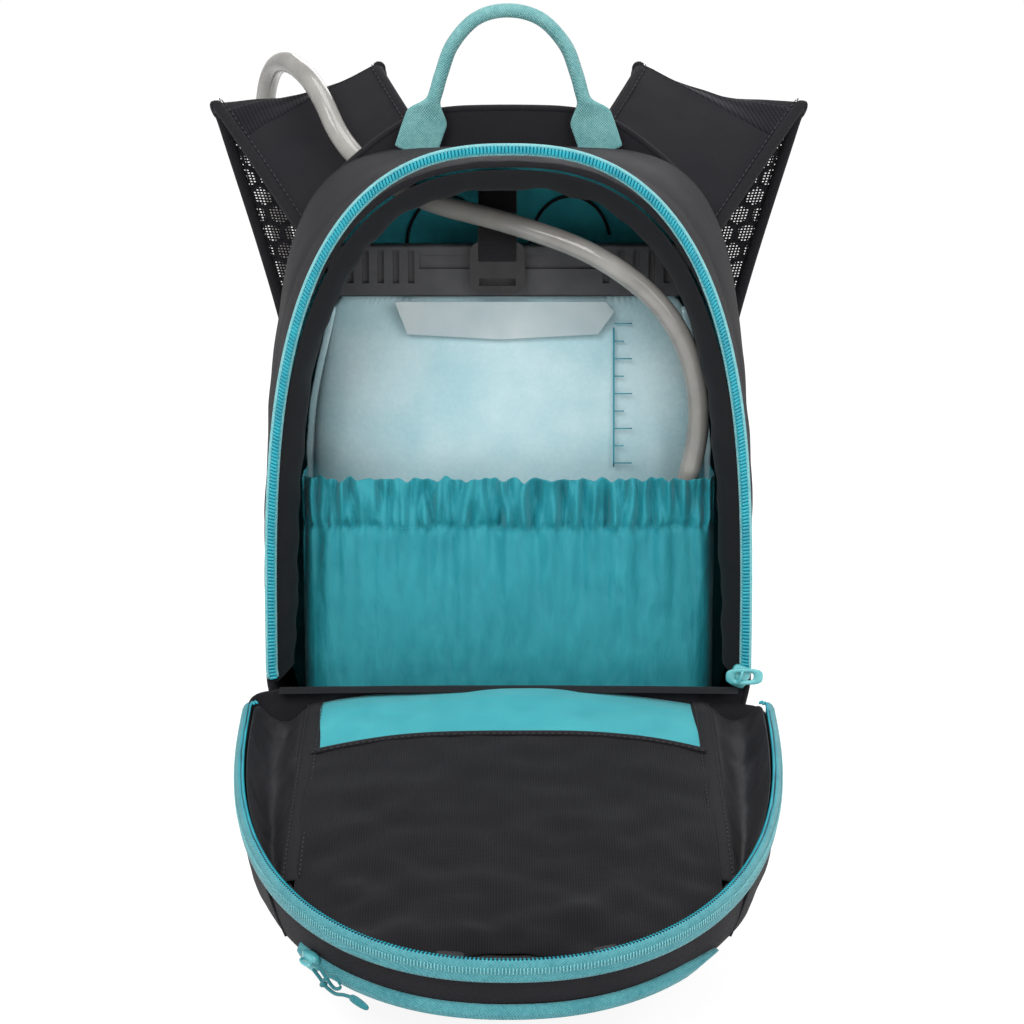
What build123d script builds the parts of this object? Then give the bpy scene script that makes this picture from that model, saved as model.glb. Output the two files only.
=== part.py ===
"""Hydration pack standing on its base, with its front flap folded down.

X is to the pack's left-right, -Y is the front, +Z is up. Millimetres.
The origin is the middle of the flat base. The flap is modelled shut and then swung open about its fold.
"""
from build123d import *
import math
import os

os.makedirs("parts", exist_ok=True)

# Driving sizes of the bag
HINGE_Z = 100.0          # height of the flap's fold
ARCH_HALF = 115.0        # half width of the zipped opening
ARCH_RISE = 249.0        # fold to top of the opening
ZIP_Y = -45.0            # plane of the opening
SHELL_DEPTH = 95.0       # opening to back wall
BACK_HALF = 119.0
BACK_RISE = 252.0
FOOT_HALF = 92.0
FOOT_RADIUS = 25.0
CLOTH = 2.0              # wall of the fabric shells
GAP = 0.3                # clearance between pieces of different bodies
BASE_TRIM = 0.02         # shaved off under the panels that the pack stands on
FRONT_SHAPE = (3.2, 2.5)   # superellipse powers of the opening, up and across
BACK_SHAPE = (4.5, 5.0)    # and of the squarer back
BACK_Y = ZIP_Y + SHELL_DEPTH

# Flap
FLAP_HALF = 124.0
FLAP_RISE = 246.0
FLAP_DEPTH = 40.0
FLAP_WALL = 27.0         # depth of the upright part of its wall
FLAP_SHAPE = (2.6, 2.2)
OPEN_ANGLE = 102.0
PIPING_R = 1.2
HINGE_Y = ZIP_Y - 1.5
FLAP_Y = ZIP_Y - 3.0     # rim plane when shut
FLAP_BASE = HINGE_Z + PIPING_R + GAP
FLAP_TOP = HINGE_Z + FLAP_RISE
FLAP_CORNER = 14.0
# Depth, and how far the side and the bottom have drawn in there
FLAP_SECTIONS = [(0.0, 0.0, 0.0), (FLAP_WALL, 3.5, 10.0), (FLAP_DEPTH, 24.0, 30.0)]

# Zip
TAPE_WIDTH = 6.0
TAPE_THICK = 1.0
COIL_WIDTH = 2.6
COIL_THICK = 2.4

# Back and harness
SHEET_THICK = 3.0
PAD_THICK = 9.0
STRAP_THICK = 5.0
YOKE_THICK = 4.0
WEB_THICK = 1.4

# Reservoir and tube
BAG_Y = 24.0
BAG_TOP = 281.0
BAR_HALF = 90.0
BAR_HEIGHT = 26.0
BAR_THICK = 11.0
LIP_THICK = 3.0
SLEEVE_Y = -17.0
SLEEVE_TOP = 192.0
SLEEVE_HALF = 101.0
TUBE_D = 10.5
TUBE_FIT = 0.2

TUBE_ROUTE = [
    (55, -4, 66), (55, -4, 98), (69, -5, 140), (86, -4, 184), (95, -12, 229), (82, -18, 274), (46, -14, 304),
    (0, 6, 319), (-47, 37, 328), (-83, 69, 350), (-98, 87, 383), (-114, 114, 396), (-126, 144, 393),
    (-133, 168, 374), (-133, 182, 345), (-127, 180, 311), (-117, 157, 268), (-108, 134, 228),
    (-101, 129, 183), (-97, 128, 143),
]


def export(shape, name):
    """Writes one node."""
    export_step(shape, f"parts/{name}.step")


def arch_points(half, rise, base, powers, count=13):
    """Points over a superellipse arch, from its right foot to its left foot, as (x, z)."""
    up, across = powers
    found = [(half, base)]
    for i in range(1, count - 1):
        t = math.pi * i / (count - 1)
        c, s = math.cos(t), math.sin(t)
        x = half * math.copysign(abs(c) ** (2 / across), c)
        found.append((x, base + rise * s ** (2 / up)))
    return [*found, (-half, base)]


def arch_edge(y, half, rise, base, powers):
    """The arch as one smooth edge in the plane at y."""
    points = [(x, y, z) for x, z in arch_points(half, rise, base, powers)]
    return Spline(*points, tangents=[(0, 0, 1), (0, 0, -1)])


def shell_wire(y, half, rise, powers, inset=0.0):
    """Closed outline of the bag body: an arch on tapering legs with a flat foot."""
    side, foot = half - inset, FOOT_HALF - inset
    top = arch_edge(y, side, rise - inset, HINGE_Z, powers)
    legs = FilletPolyline(
        (-side, y, HINGE_Z), (-foot, y, inset), (foot, y, inset), (side, y, HINGE_Z),
        radius=FOOT_RADIUS - inset,
    )
    return Wire([*top.edges(), *legs.edges()])


def shell_loft(inset=0.0, reach=0.0):
    """Solid inside of the bag body, from the opening to the back."""
    front = shell_wire(ZIP_Y - reach, ARCH_HALF, ARCH_RISE, FRONT_SHAPE, inset)
    back = shell_wire(BACK_Y + reach, BACK_HALF, BACK_RISE, BACK_SHAPE, inset)
    return Solid.make_loft([front, back], ruled=True)


def flap_wire(depth, inset=0.0):
    """Closed outline of the flap at a depth in front of its rim, with the flap shut."""
    for (d0, s0, b0), (d1, s1, b1) in zip(FLAP_SECTIONS, FLAP_SECTIONS[1:]):
        t = (depth - d0) / (d1 - d0)
        side, bottom = s0 + t * (s1 - s0), b0 + t * (b1 - b0)
        if t <= 1:
            break
    y = FLAP_Y - depth
    half = FLAP_HALF - side - inset
    base = FLAP_BASE + bottom + inset
    corner = FLAP_CORNER
    rise = FLAP_TOP - side - inset - base - corner
    top = arch_edge(y, half, rise, base + corner, FLAP_SHAPE)
    legs = FilletPolyline(
        (-half, y, base + corner), (-half, y, base), (half, y, base), (half, y, base + corner),
        radius=corner * 0.8,
    )
    return Wire([*top.edges(), *legs.edges()])


def flap_loft(inset=0.0, floor=0.0):
    """Solid of the shut flap, or of its inside, from the rim to its face less the floor."""
    depths = [0.0, FLAP_WALL, FLAP_DEPTH - floor]
    return Solid.make_loft([flap_wire(d, inset) for d in depths], ruled=True)


def slab(x, y, z):
    """A box from pairs of limits."""
    size = (x[1] - x[0], y[1] - y[0], z[1] - z[0])
    return Pos((x[0] + x[1]) / 2, (y[0] + y[1]) / 2, (z[0] + z[1]) / 2) * Box(*size)


def flat_based(shape):
    """Shaves the foot of a panel, which leaves it on one exact plane."""
    return shape - slab((-200, 200), (-100, 100), (-1, BASE_TRIM))


def across(profile, half, middle=0.0):
    """Extrudes a side profile, (y, z) points, to both sides of the middle."""
    wire = Wire([*Polyline(*[(middle - half, y, z) for y, z in profile], close=True).edges()])
    return extrude(Face(wire), amount=2 * half, dir=(1, 0, 0))


def opened(shape):
    """Swings a piece of the flap from shut to its rest position."""
    return shape.rotate(Axis((0, HINGE_Y, HINGE_Z), (1, 0, 0)), OPEN_ANGLE)


def arch_ring(y, inset, width, thick, half=ARCH_HALF, base=HINGE_Z, rise=ARCH_RISE, shape=FRONT_SHAPE):
    """A band that follows the opening over the fold, its front face at y."""
    outer = arch_edge(y, half - inset, rise - inset, base, shape)
    inner = arch_edge(y, half - inset - width, rise - inset - width, base, shape)
    ends = [Line(outer @ 0, inner @ 0), Line(outer @ 1, inner @ 1)]
    wire = Wire([*outer.edges(), *inner.edges(), *ends[0].edges(), *ends[1].edges()])
    return extrude(Face(wire), amount=thick, dir=(0, 1, 0))


# ---------------------------------------------------------------- tube

def route_radii(points, largest=0.45):
    """The largest arc at each corner that its two runs allow."""
    radii = []
    for a, b, c in zip(points, points[1:], points[2:]):
        first, second = Vector(*b) - Vector(*a), Vector(*c) - Vector(*b)
        turn = math.radians(first.get_angle(second))
        radii.append(largest * min(first.length, second.length) / math.tan(turn / 2))
    return radii


def tube_path():
    """Centreline of the drink tube: straight runs and tangent arcs."""
    return FilletPolyline(*TUBE_ROUTE, radius=route_radii(TUBE_ROUTE))


def run_plane(start, end, share):
    """A plane across the tube, part of the way along one run of its route."""
    a, b = Vector(*start), Vector(*end)
    return Plane(a + (b - a) * share, z_dir=(b - a).normalized())


def drink_tube():
    path = tube_path()
    section = Plane(path @ 0, z_dir=path % 0) * Circle(TUBE_D / 2)
    tube = sweep(section, path=path)
    expected = math.pi * TUBE_D ** 2 / 4 * path.length
    print("tube length", round(path.length, 1), "volume share", round(tube.volume / expected, 4))
    print("radii", [round(r) for r in route_radii(TUBE_ROUTE)])
    return tube


# The tube leaves the bag on the run between these two points of its route.
PORT_PLANE = run_plane(TUBE_ROUTE[8], TUBE_ROUTE[9], 0.5)
GROMMET_R = TUBE_D / 2 + TUBE_FIT + 1.6
GROMMET_LENGTH = 9.0


def port_cut():
    """The room that the grommet takes out of the bag's wall."""
    return PORT_PLANE * Cylinder(GROMMET_R + 0.1, 60)


def tube_grommet():
    """Rubber sleeve that the tube leaves through."""
    ring = Cylinder(GROMMET_R, GROMMET_LENGTH) - Cylinder(TUBE_D / 2 + TUBE_FIT, GROMMET_LENGTH + 2)
    return PORT_PLANE * ring


# ---------------------------------------------------------------- bag body

def shell_gusset():
    """Sewn side wall, all round from the opening to the back."""
    return shell_loft() - shell_loft(CLOTH, 1.0) - port_cut()


def back_sheet():
    """Stiff sheet that closes the back."""
    wire = shell_wire(BACK_Y + GAP, BACK_HALF, BACK_RISE, BACK_SHAPE)
    return extrude(Face(wire), amount=SHEET_THICK, dir=(0, 1, 0)) - port_cut()


PAD_Y = BACK_Y + GAP + SHEET_THICK
PAD_ROWS = [(56, 118, 14, 76), (128, 198, 12, 90), (208, 290, 12, 92)]   # low, high, inner and outer edge


def back_pads():
    """Foam pads on the wearer's side, with air channels between them."""
    pads = []
    for side in (-1, 1):
        for low, high, inner, outer in PAD_ROWS:
            pad = slab(sorted((side * inner, side * outer)), (PAD_Y, PAD_Y + PAD_THICK), (low, high))
            pad = fillet(pad.edges().filter_by(Axis.Y), 12)
            pads.append(chamfer(pad.faces().sort_by(Axis.Y)[-1].edges(), 4))
    return Compound(children=pads)


BOOT_DEPTH = 8.0
BOOT_TOP = HINGE_Z - PIPING_R - GAP


def boot_loft(inset=0.0):
    """The bag's lower front, which swells forward under the fold."""
    y0, y1 = ZIP_Y - GAP + (0.5 if inset else 0.0), ZIP_Y - GAP - BOOT_DEPTH + inset
    def wire(y, top_half, foot_half, top):
        points = [(-top_half, y, top), (-foot_half, y, inset), (foot_half, y, inset), (top_half, y, top)]
        return Wire([*Polyline(*points, close=True).edges()])
    back = wire(y0, ARCH_HALF - 3 - inset, FOOT_HALF - 3 - inset, BOOT_TOP - inset)
    front = wire(y1, FOOT_HALF - inset, FOOT_HALF - 12 - inset, HINGE_Z / 2 - inset)
    return Solid.make_loft([back, front], ruled=True)


def lower_front_panel():
    return boot_loft() - boot_loft(CLOTH)


def hinge_piping():
    """Piping along the fold that the flap turns on."""
    return Pos(0, HINGE_Y, HINGE_Z) * (Rot(0, 90, 0) * Cylinder(PIPING_R, 2 * (ARCH_HALF - 16)))


def body_tape():
    return arch_ring(ZIP_Y - GAP - TAPE_THICK, 0.0, TAPE_WIDTH, TAPE_THICK)


def body_coil():
    return arch_ring(ZIP_Y - GAP - TAPE_THICK, TAPE_WIDTH, COIL_WIDTH, COIL_THICK)


def sleeve():
    """Open-topped inner sleeve that holds the reservoir against the back."""
    depth = BACK_Y - SLEEVE_Y - GAP
    outer = slab((-SLEEVE_HALF, SLEEVE_HALF), (SLEEVE_Y, SLEEVE_Y + depth), (60, SLEEVE_TOP))
    outer = fillet(outer.edges().filter_by(Axis.Z).group_by(Axis.Y)[0], 16)
    inside = slab((-SLEEVE_HALF + 1.5, SLEEVE_HALF - 1.5), (SLEEVE_Y + 1.5, 200), (0, 400))
    inside = fillet(inside.edges().filter_by(Axis.Z).group_by(Axis.Y)[0], 14.5)
    return outer - inside


def sleeve_elastic():
    """Flat elastic that runs in the sleeve's hem."""
    reach = SLEEVE_HALF - 18
    return slab((-reach, reach), (SLEEVE_Y - 1.3, SLEEVE_Y - GAP), (SLEEVE_TOP - 16, SLEEVE_TOP - 6))


# ---------------------------------------------------------------- reservoir

def rounded_section(z, half, thick):
    """A slim rounded rectangle across the reservoir."""
    radius = min(thick * 0.45, half * 0.4)
    return (Pos(0, BAG_Y, z) * RectangleRounded(2 * half, thick, radius)).face().outer_wire()


def reservoir_bag():
    """Filled film bag, with the flat mouth that the closure grips."""
    low = [(16, 62, 8), (40, 86, 26), (110, 96, 34)]
    high = [(190, 97, 32), (235, 94, 22), (BAG_TOP, 84, LIP_THICK)]
    body = Solid.make_loft([rounded_section(*s) for s in low + high], ruled=True)
    lip = slab((-84, 84), (BAG_Y - LIP_THICK / 2, BAG_Y + LIP_THICK / 2), (BAG_TOP, BAG_TOP + 12))
    return body + lip


def reservoir_closure():
    """Moulded bar that slides over the folded mouth, with grip slots at both ends."""
    y0, y1 = BAG_Y - BAR_THICK / 2, BAG_Y + BAR_THICK / 2
    bar = slab((-BAR_HALF, BAR_HALF), (y0, y1), (BAG_TOP + GAP, BAG_TOP + BAR_HEIGHT))
    bar = fillet(bar.edges().filter_by(Axis.Y), 8)
    bar = fillet(bar.faces().sort_by(Axis.Y)[0].edges(), 1.5)
    groove = LIP_THICK / 2 + GAP
    bar -= slab((-200, 200), (BAG_Y - groove, BAG_Y + groove), (BAG_TOP - 5, BAG_TOP + 12 + GAP))
    middle = BAG_TOP + BAR_HEIGHT / 2 + 2
    for side in (-1, 1):
        for i in range(5):
            slot = Pos(side * (BAR_HALF - 12 - 7.5 * i), y0, middle) * Box(3.2, 5, BAR_HEIGHT - 10)
            bar -= slot
    bar -= slab((-44, 44), (y0 - 1, y0 + 2), (middle - 1, middle + 6))
    return bar


LIP_PLATE_Y = 15.5


def reservoir_lip():
    """Stiff clear plate under the closure that keeps the mouth open for filling."""
    profile = [(-56, 279), (48, 279), (52, 274), (44, 263), (-4, 260.5), (-50, 263)]
    wire = Wire([*Polyline(*[(x, LIP_PLATE_Y, z) for x, z in profile], close=True).edges()])
    return extrude(Face(wire), amount=2.4, dir=(0, 1, 0))


PORT_X, PORT_Z = TUBE_ROUTE[0][0], 42.0
ELBOW_R = 8.0


def reservoir_port():
    """Outlet disc on the bag and the elbow that the tube plugs into."""
    x, y, z = TUBE_ROUTE[0]
    disc = Pos(x, 7.0, PORT_Z) * (Rot(90, 0, 0) * Cylinder(17, 5))
    elbow = Pos(x, y, (PORT_Z + z) / 2 - 2) * Cylinder(ELBOW_R, z - PORT_Z + 4)
    neck = Pos(x, 0.0, PORT_Z) * (Rot(90, 0, 0) * Cylinder(ELBOW_R, 12))
    button_hole = Pos(x, y - ELBOW_R + 2, PORT_Z + 8) * (Rot(90, 0, 0) * Cylinder(3.5 + GAP, 6))
    return disc + elbow + neck - reservoir_bag() - button_hole


def release_button():
    """Push button that frees the tube from the port."""
    x, y, _ = TUBE_ROUTE[0]
    return Pos(x, y - ELBOW_R + 0.4, PORT_Z + 8) * (Rot(90, 0, 0) * Cylinder(3.5, 4.4))


BUCKLE_X = -5.5
BUCKLE_Y = BAG_Y - BAR_THICK / 2 - GAP - 5.0
BUCKLE_TOP = 309.0


def hang_strap():
    """Webbing from the top seam down to the hang buckle."""
    top = (BACK_Y - 6, HINGE_Z + BACK_RISE - 12)
    low = BUCKLE_TOP - 0.5 + 0.4
    profile = [(BUCKLE_Y + 1.2, low), top, (top[0], top[1] + WEB_THICK), (BUCKLE_Y - 0.2, low + 0.6)]
    return across(profile, 9.5, BUCKLE_X)


def hang_buckle():
    """Hook buckle that carries the reservoir by its closure."""
    frame = Pos(BUCKLE_X, BUCKLE_Y + 2.1, BUCKLE_TOP - 13) * Box(27, 4.2, 25)
    frame = fillet(frame.edges().filter_by(Axis.Y), 5)
    for z, height in ((BUCKLE_TOP - 6, 3.6), (BUCKLE_TOP - 20, 3.6)):
        frame -= Pos(BUCKLE_X, BUCKLE_Y + 2.1, z) * Box(18, 10, height)
    return frame


# ---------------------------------------------------------------- flap

def flap_shell():
    return flap_loft() - flap_loft(CLOTH, CLOTH) - zip_ends()


# The pocket's inner side: heights with the flap shut, and how deep under the rim it lies there.
POCKET_Z = (FLAP_BASE + 3, FLAP_BASE + 60, FLAP_TOP - 40)
POCKET_DEPTH = (2.0, 5.0, 11.0)
SKIN_THICK = 1.2


def pocket_skin(z0, z1, half):
    """A layer of cloth on the pocket's inner side, between two heights on one slope of it."""
    def top(z):
        row = 0 if z0 < POCKET_Z[1] - 1 else 1
        t = (z - POCKET_Z[row]) / (POCKET_Z[row + 1] - POCKET_Z[row])
        return FLAP_Y - POCKET_DEPTH[row] - t * (POCKET_DEPTH[row + 1] - POCKET_DEPTH[row]) + 0.2
    profile = [(top(z0), z0), (top(z1), z1), (top(z1) + SKIN_THICK, z1), (top(z0) + SKIN_THICK, z0)]
    return across(profile, half)


def flap_pocket():
    """Zipped pocket built into the flap: it fills the flap towards the fold."""
    (near, mid, far), (d0, d1, d2) = POCKET_Z, POCKET_DEPTH
    profile = [(FLAP_Y - d0, near), (FLAP_Y - d1, mid), (FLAP_Y - d2, far),
               (FLAP_Y - FLAP_DEPTH, far), (FLAP_Y - FLAP_DEPTH, near)]
    pillow = across(profile, 90)
    return pillow & flap_loft(CLOTH + GAP, CLOTH + GAP)


def flap_band():
    """Smooth strip over the pocket, next to the fold."""
    return pocket_skin(POCKET_Z[0] + 2, POCKET_Z[1] - 1, 84)


def flap_stretch_pocket():
    """Stretch panel over the rest of the pocket, hemmed at the strip."""
    return pocket_skin(POCKET_Z[1] + 1, POCKET_Z[2] - 2, 74)


def flap_tape():
    return opened_ring(0.0, TAPE_WIDTH, TAPE_THICK)


def opened_ring(inset, width, thick):
    base = FLAP_BASE + FLAP_CORNER
    rise = FLAP_TOP - base
    return arch_ring(FLAP_Y + 0.1, inset, width, thick, FLAP_HALF, base, rise, FLAP_SHAPE)


def flap_coil():
    return opened_ring(TAPE_WIDTH, COIL_WIDTH, 1.4)


POCKET_ZIP_Z = FLAP_TOP - 48
POCKET_ZIP_DEPTH = (20.5, 26.5)


def pocket_zip():
    """Zip of the flap's outside pocket, on the wall near the face."""
    band = flap_loft(-1.5) - flap_loft(-0.2, -1.0)
    cut = slab((-200, 200), (FLAP_Y - POCKET_ZIP_DEPTH[1], FLAP_Y - POCKET_ZIP_DEPTH[0]), (POCKET_ZIP_Z, 400))
    return band & cut


def place_on_flap_wall(shape, z, depth, stand_off):
    """Moves a piece from the origin onto the flap's left wall, its +Z outward and its +X along the zip."""
    base = FLAP_BASE + FLAP_CORNER
    draw = FLAP_SECTIONS[1][1] * depth / FLAP_WALL
    rise, (up, power) = FLAP_TOP - base - draw, FLAP_SHAPE
    share = (z - base) / rise
    half = FLAP_HALF - draw
    x = half * (1 - share ** up) ** (1 / power)
    step = 0.01
    x_next = half * (1 - (share + step) ** up) ** (1 / power)
    along = Vector(x - x_next, 0, step * rise).normalized()
    out = Vector(-along.Z, 0, along.X)
    spot = Vector(-x, FLAP_Y - depth, z) + out * stand_off
    return Plane(spot, x_dir=along, z_dir=out).location * shape


PULL_Z = POCKET_ZIP_Z + 7
PULL_DEPTH = sum(POCKET_ZIP_DEPTH) / 2


def pocket_slider():
    return place_on_flap_wall(Box(11, 7, 3.4), PULL_Z, PULL_DEPTH, 4.4)


def pocket_pull():
    """Cord loop on the pocket zip's slider."""
    start = 5.5 + GAP
    ring = SlotOverall(26, 11) - SlotOverall(21, 6)
    loop = Pos(start + 13, 0, 0) * extrude(ring, amount=1.3, both=True)
    knot = Pos(start + 26 + 4, 0, 0) * Box(9, 5, 4)
    return place_on_flap_wall(loop + knot, PULL_Z, PULL_DEPTH, 5.0)


# ---------------------------------------------------------------- main zip slider

SLIDER_Z = HINGE_Z + 6
SLIDER_LENGTH = 11.0
PULL_LENGTH = 15.0


def main_slider():
    """Zip slider that straddles the coil at the right end of the opening."""
    coil_in = ARCH_HALF - TAPE_WIDTH - COIL_WIDTH
    y0, y1 = ZIP_Y - GAP - TAPE_THICK, ZIP_Y - GAP - TAPE_THICK + COIL_THICK
    z = (SLIDER_Z - SLIDER_LENGTH / 2, SLIDER_Z + SLIDER_LENGTH / 2)
    body = slab((coil_in - 6, ARCH_HALF - 4.2), (y0 - 2.2, y1 + 2.2), z)
    channel = slab((coil_in - 2.2, ARCH_HALF + 4), (y0 - 0.5, y1 + 0.5), (0, 400))
    return body - channel


def main_pull():
    """Flat tab on the slider, turned outward."""
    y = ZIP_Y - GAP - TAPE_THICK - 2.2 - 0.5
    x = ARCH_HALF - TAPE_WIDTH - COIL_WIDTH
    tab = slab((x - 3, x + PULL_LENGTH), (y - 1.6, y), (SLIDER_Z - 4, SLIDER_Z + 4))
    tab = fillet(tab.edges().filter_by(Axis.Y), 2)
    return tab - Pos(x + PULL_LENGTH - 5, y, SLIDER_Z) * Box(5, 10, 4)


def zip_ends():
    """Room for the slider in the flap's rim, at both ends of the zip."""
    room = slab((0, 2 * FLAP_HALF), (FLAP_Y - 4, FLAP_Y + 1), (0, SLIDER_Z + SLIDER_LENGTH / 2 + 1))
    core = slab((-96, 96), (-400, 400), (-400, 400))
    return room + mirror(room, Plane.YZ) - core


# ---------------------------------------------------------------- harness

YOKE_Y = PAD_Y + GAP
ROOT_Y = YOKE_Y + YOKE_THICK + GAP
# Outer and inner edge point and thickness direction of the left strap's stations, over the ridge and down.
STRAP_STATIONS = [
    ((-98, ROOT_Y, 300), (-40, ROOT_Y, 354), (0, 0.55, -0.83)),
    ((-150, 110, 369), (-66, 110, 391), (0, 0.50, -0.86)),
    ((-155, 116, 373), (-66, 116, 395), (0, -0.2, -1)),
    ((-154, 122, 369), (-66, 122, 391), (0, -1, -0.5)),
    ((-150, 124, 358), (-64, 124, 380), (0, -1, 0)),
    ((-119, 121, 252), (-45, 121, 262), (0, -1, 0)),
    ((-98, 112, 140), (-62, 112, 142), (0, -1, 0)),
]


def strip_section(outer, inner, normal, thick):
    """A flat rectangle across a strap."""
    o, i, n = Vector(*outer), Vector(*inner), Vector(*normal).normalized() * thick
    return Wire([*Polyline(o, i, i + n, o + n, close=True).edges()])


def mirrored(points):
    return [tuple((-p[0], p[1], p[2]) for p in station) for station in points]


def shoulder_strap(side):
    """Wide padded strap: up from the yoke, over a ridge and down to its adjuster."""
    stations = STRAP_STATIONS if side < 0 else mirrored(STRAP_STATIONS)
    return Solid.make_loft([strip_section(*s, STRAP_THICK) for s in stations], ruled=True) - port_cut()


def yoke_panel():
    """Collar that joins the straps to the top of the back."""
    outline = [(-90, 300), (90, 300), (95, 332), (38, 371), (-38, 371), (-95, 332)]
    wire = Wire([*Polyline(*[(x, YOKE_Y, z) for x, z in outline], close=True).edges()])
    plate = extrude(Face(wire), amount=YOKE_THICK, dir=(0, 1, 0))
    return plate - port_cut() - shoulder_strap(-1) - shoulder_strap(1)


LOCK_Z = 129.5


def adjuster_lock(side):
    """Ladder lock at the foot of a strap, which grips the webbing."""
    lock = Pos(side * 80, 109.5, LOCK_Z) * Box(30, 6, 20)
    lock = fillet(lock.edges().filter_by(Axis.Y), 4)
    for z in (LOCK_Z + 4.5, LOCK_Z - 4.5):
        lock -= Pos(side * 80, 109.5, z) * Box(21, 10, 3.6)
    return lock


def adjuster_web(side):
    """Webbing from the ladder lock to the pack's lower corner."""
    top_z = LOCK_Z - 10.5
    top = strip_section((side * 90, 108, top_z), (side * 70, 108, top_z), (0, -1, 0), WEB_THICK)
    low = strip_section((side * 98, BACK_Y + 7, 62), (side * 84, BACK_Y + 7, 44), (0, -1, 0), WEB_THICK)
    return Solid.make_loft([top, low], ruled=True)


def corner_tab(side):
    """Triangular anchor that the webbing is sewn to."""
    points = [(60, 24), (88, 24), (106, 66), (100, 74), (78, 50)]
    wire = Wire([*Polyline(*[(side * x, PAD_Y + GAP, z) for x, z in points], close=True).edges()])
    return extrude(Face(wire), amount=1.8, dir=(0, 1, 0))


STERNUM_Z = 256.0
STERNUM_Y = 121.0 + GAP


def sternum_web(side):
    """One half of the chest strap."""
    inner = 22.5 if side < 0 else 15
    y = (STERNUM_Y, STERNUM_Y + WEB_THICK)
    return slab(sorted((side * inner, side * 72)), y, (STERNUM_Z - 9.5, STERNUM_Z + 9.5))


def sternum_clip(side):
    """Clip that holds the chest strap to the shoulder strap."""
    y = (STERNUM_Y + WEB_THICK + GAP, STERNUM_Y + WEB_THICK + 4)
    clip = slab(sorted((side * 62, side * 78)), y, (STERNUM_Z - 13, STERNUM_Z + 13))
    return fillet(clip.edges().filter_by(Axis.Y), 3)


def buckle_socket():
    """Female half of the chest buckle."""
    socket = slab((-14, 16), (STERNUM_Y - 3.4, STERNUM_Y + 5.6), (STERNUM_Z - 13, STERNUM_Z + 13))
    socket = fillet(socket.edges().filter_by(Axis.Y), 3)
    pocket = slab((-20, 11), (STERNUM_Y - 1.4, STERNUM_Y + 3.6), (STERNUM_Z - 10.5, STERNUM_Z + 10.5))
    web = slab((12, 30), (STERNUM_Y - GAP, STERNUM_Y + WEB_THICK + GAP), (STERNUM_Z - 10, STERNUM_Z + 10))
    return socket - pocket - web


def buckle_plug():
    """Male half: two spring arms that snap into the socket."""
    y = (STERNUM_Y - 0.9, STERNUM_Y + 3.1)
    head = slab((-26, -15), y, (STERNUM_Z - 12, STERNUM_Z + 12))
    arms = head
    for side in (-1, 1):
        arms += slab((-16, 7), y, sorted((STERNUM_Z + side * 5.5, STERNUM_Z + side * 9.5)))
    arms += slab((-16, 9), y, (STERNUM_Z - 2, STERNUM_Z + 2))
    web = slab((-40, -22), (STERNUM_Y - GAP, STERNUM_Y + WEB_THICK + GAP), (STERNUM_Z - 10, STERNUM_Z + 10))
    return arms - web


LOOP_TOP = 421.0
LOOP_FOOT = HINGE_Z + BACK_RISE + 1.2
LOOP_Y = BACK_Y - 0.5


def grab_loop():
    """Webbing loop: flat where it is sewn in, rolled into a round grip between."""
    return loop_grip() + loop_end(-1) + loop_end(1)


LOOP_NECK = 378.0
GRIP_R = 4.2


def loop_grip():
    points = [(-33, LOOP_NECK), (-31, 398), (-16, 418), (0, LOOP_TOP), (16, 418), (31, 398), (33, LOOP_NECK)]
    path = Spline(*[(x, LOOP_Y, z) for x, z in points])
    return sweep(Plane(path @ 0, z_dir=path % 0) * Circle(GRIP_R), path=path)


def loop_end(side):
    toward = (0, -1, 0)
    foot_y, neck_y, neck_z = LOOP_Y + 1, LOOP_Y + 2, LOOP_NECK + 2
    foot = strip_section((side * 55, foot_y, LOOP_FOOT), (side * 33, foot_y, LOOP_FOOT), toward, 2)
    neck = strip_section((side * 36.5, neck_y, neck_z), (side * 30, neck_y, neck_z), toward, 4)
    return Solid.make_loft([foot, neck], ruled=True)


# ---------------------------------------------------------------- bite valve and tube clip

def tube_end():
    a, b = Vector(*TUBE_ROUTE[-2]), Vector(*TUBE_ROUTE[-1])
    return Plane(b, z_dir=(b - a).normalized())


def bite_valve_body():
    body = Pos(0, 0, 10) * Cylinder(8, 20) + Pos(0, 0, 24) * Cylinder(5, 8)
    return tube_end() * fillet(body.edges().group_by(Axis.Z)[0], 1.5)


def bite_valve_tip():
    """Soft mouthpiece that twists open on the valve body."""
    tip = Pos(0, 0, 32) * Cylinder(9, 22) - Pos(0, 0, 24) * Cylinder(5.05, 8.4)
    return tube_end() * fillet(tip.edges().group_by(Axis.Z)[-1], 5)


def tube_clip():
    """Elastic keeper that holds the tube on the left strap."""
    plane = run_plane(TUBE_ROUTE[17], TUBE_ROUTE[18], 0.5)
    hoop = Cylinder(TUBE_D / 2 + 2.2, 14) - Cylinder(TUBE_D / 2 + GAP, 16)
    return plane * hoop


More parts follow.
